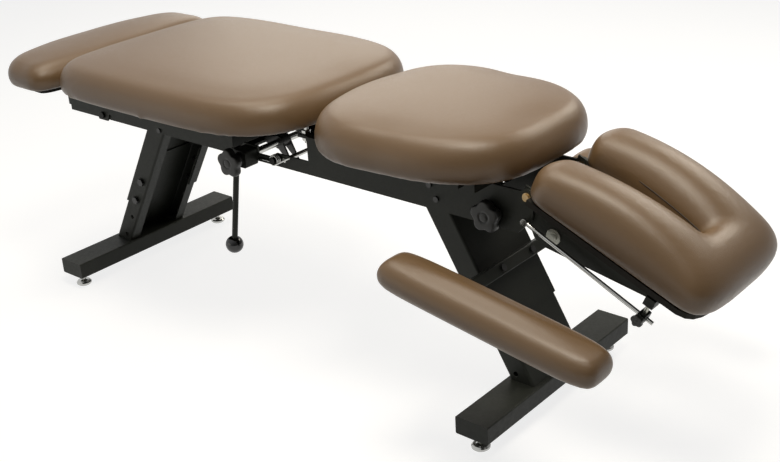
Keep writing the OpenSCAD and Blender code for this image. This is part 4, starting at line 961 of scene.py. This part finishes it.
def spring_line():
    """Helix: x and z go round the post as cosine and sine, and y falls evenly. The legs are its
    tangents."""
    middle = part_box("torsion_spring")[0].x + LEFT_LEG
    a = np.linspace(0, 2 * math.pi * COIL_TURNS + RIGHT_LEG_RISE, COIL_POINTS)
    coil = np.stack([
        middle + COIL_RADIUS * np.cos(a - math.pi / 2),
        COIL_START - COIL_PITCH * a / (2 * math.pi),
        COIL_HEIGHT + COIL_RADIUS * np.sin(a - math.pi / 2),
    ], axis=-1)
    left = coil[0] - LEG_SHARES * [LEFT_LEG, 0, 0]
    rising = np.array([math.cos(RIGHT_LEG_RISE), 0, math.sin(RIGHT_LEG_RISE)])
    right = coil[-1] + LEG_SHARES[::-1] * RIGHT_LEG * rising
    return np.concatenate([left, coil, right])


def torsion_spring():
    made = piece("spring_wire", swept("spring", spring_line(), WIRE_RADIUS))
    made.data.materials.append(finishes["chrome"])
    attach(made, "frame")
    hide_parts("torsion_spring")
    return made


print("spring points:", len(torsion_spring().data.vertices))

# %% [markdown]
# The background is white, and white is what the camera sees; the light that falls on the
# table is set apart from it, by the Light Path node. Mirrors see a room that is bright behind
# the table and dark towards its head end, because white all round would wash out the black
# paint and the cushions' sides.

# %% World
ROOM_BRIGHT, ROOM_DARK, AMBIENT = 0.8, 0.2, 0.05
BRIGHT_SIDE = (-0.8, 0.1, 0.6)
SHADE_FROM, SHADE_TO = -0.6, 0.7


def path_mask(tree):
    """1 for rays that come from the camera, a mirror or glass."""
    paths = tree.nodes.new("ShaderNodeLightPath")
    seen = math_node(tree, "MAXIMUM", paths.outputs["Is Camera Ray"],
                     paths.outputs["Is Glossy Ray"])
    return math_node(tree, "MAXIMUM", seen, paths.outputs["Is Transmission Ray"])


def room_shade(tree):
    """What mirrors see: bright in the direction BRIGHT_SIDE and dark away from it."""
    direction = tree.nodes.new("ShaderNodeTexCoord").outputs["Generated"]
    along = tree.nodes.new("ShaderNodeVectorMath")
    along.operation = "DOT_PRODUCT"
    tree.links.new(direction, along.inputs[0])
    along.inputs[1].default_value = BRIGHT_SIDE
    shade = tree.nodes.new("ShaderNodeMapRange")
    shade.interpolation_type = "SMOOTHSTEP"
    tree.links.new(along.outputs["Value"], shade.inputs["Value"])
    for socket, value in (("From Min", SHADE_FROM), ("From Max", SHADE_TO),
                          ("To Min", ROOM_DARK), ("To Max", ROOM_BRIGHT)):
        shade.inputs[socket].default_value = value
    return shade.outputs["Result"]


def make_world():
    """Strength 1 for the camera, the room's shade for mirrors and glass, ambient for the rest."""
    world = bpy.data.worlds.new("studio")
    world.use_nodes = True
    tree = world.node_tree
    background = tree.nodes["Background"]
    background.inputs["Color"].default_value = (1, 1, 1, 1)
    seen = path_mask(tree)
    camera_ray = tree.nodes.new("ShaderNodeLightPath").outputs["Is Camera Ray"]
    shade = math_node(tree, "MAXIMUM", room_shade(tree), camera_ray)
    unseen = math_node(tree, "SUBTRACT", 1.0, seen)
    rest = math_node(tree, "MULTIPLY", unseen, AMBIENT)
    strength = math_node(tree, "ADD", math_node(tree, "MULTIPLY", seen, shade), rest)
    tree.links.new(strength, background.inputs["Strength"])
    return world


bpy.context.scene.world = make_world()
bpy.context.scene.view_settings.view_transform = "Standard"
print("world nodes:", len(bpy.context.scene.world.node_tree.nodes))

# %% [markdown]
# The table stands on a pale floor with a soft shadow. A floor that is white by its colour
# alone would throw too much light up under the table, so its colour is a middle grey, and
# what the camera and mirrors see is raised to white by a glow that lights nothing else.

# %% Floor
FLOOR_HALF = 9.0
FLOOR_GREY, FLOOR_ROUGHNESS, FLOOR_SPECULAR = 0.36, 0.8, 0.1
FLOOR_GLOW = 0.8


def make_floor():
    """A wide sheet at z = 0 that shows paler to the camera than the light on it makes it."""
    side = FLOOR_HALF
    corners = [(-side, -side, 0), (side, -side, 0), (side, side, 0), (-side, side, 0)]
    mesh = bpy.data.meshes.new("floor")
    mesh.from_pydata(corners, [], [(0, 1, 2, 3)])
    floor = piece("floor", mesh)
    material = bpy.data.materials.new("pale floor")
    material.use_nodes = True
    tree = material.node_tree
    shader = tree.nodes["Principled BSDF"]
    shader.inputs["Base Color"].default_value = (FLOOR_GREY, FLOOR_GREY, FLOOR_GREY, 1)
    shader.inputs["Roughness"].default_value = FLOOR_ROUGHNESS
    shader.inputs["Specular IOR Level"].default_value = FLOOR_SPECULAR
    shader.inputs["Emission Color"].default_value = (1, 1, 1, 1)
    glow = math_node(tree, "MULTIPLY", path_mask(tree), FLOOR_GLOW)
    tree.links.new(glow, shader.inputs["Emission Strength"])
    mesh.materials.append(material)


make_floor()
print("floor:", 2 * FLOOR_HALF, "m wide")

# %% [markdown]
# Five large, slightly warm lamps light the table: two above it, one on the far side that
# draws the long highlights on the head cushion, one at the back left that gives the level
# cushions their sheen, and a weak one that fills the near side. A lamp shines along its own
# -Z, so the backward column of its matrix points from the place it lights to the lamp.

# %% Lamps
LAMP_TINT = (1.0, 0.93, 0.8)
# Name, place, aimed at, width and height, watts.
LAMPS = [
    ("high left", (-0.7, 0.1, 2.8), (0, 0, 0.5), (1.5, 1.1), 24),
    ("high front", (0.7, -0.45, 2.6), (0.4, 0, 0.4), (1.0, 0.8), 33),
    ("far side", (0.7, 2.3, 2.0), (0.4, 0, 0.5), (1.4, 0.9), 24),
    ("back left", (-2.2, 2.5, 1.6), (0, 0, 0.6), (1.6, 0.9), 10),
    ("near side", (-1.8, -3.0, 0.7), (0, 0, 0.3), (2.6, 1.2), 7),
]


def soft_lamp(name, at, towards, size, watts):
    data = bpy.data.lights.new(name, "AREA")
    data.shape = "RECTANGLE"
    data.size, data.size_y = size
    data.energy = watts
    data.color = LAMP_TINT
    lamp = bpy.data.objects.new(name, data)
    back = np.array(at) - np.array(towards)
    back = back / np.linalg.norm(back)
    right = np.cross([0, 0, 1], back)
    right = right / np.linalg.norm(right)
    lamp.matrix_world = framed(right, np.cross(back, right), back, at)
    bpy.context.scene.collection.objects.link(lamp)


for lamp_values in LAMPS:
    soft_lamp(*lamp_values)
print("lamps:", len(LAMPS), "watts in all:", sum(lamp_values[-1] for lamp_values in LAMPS))
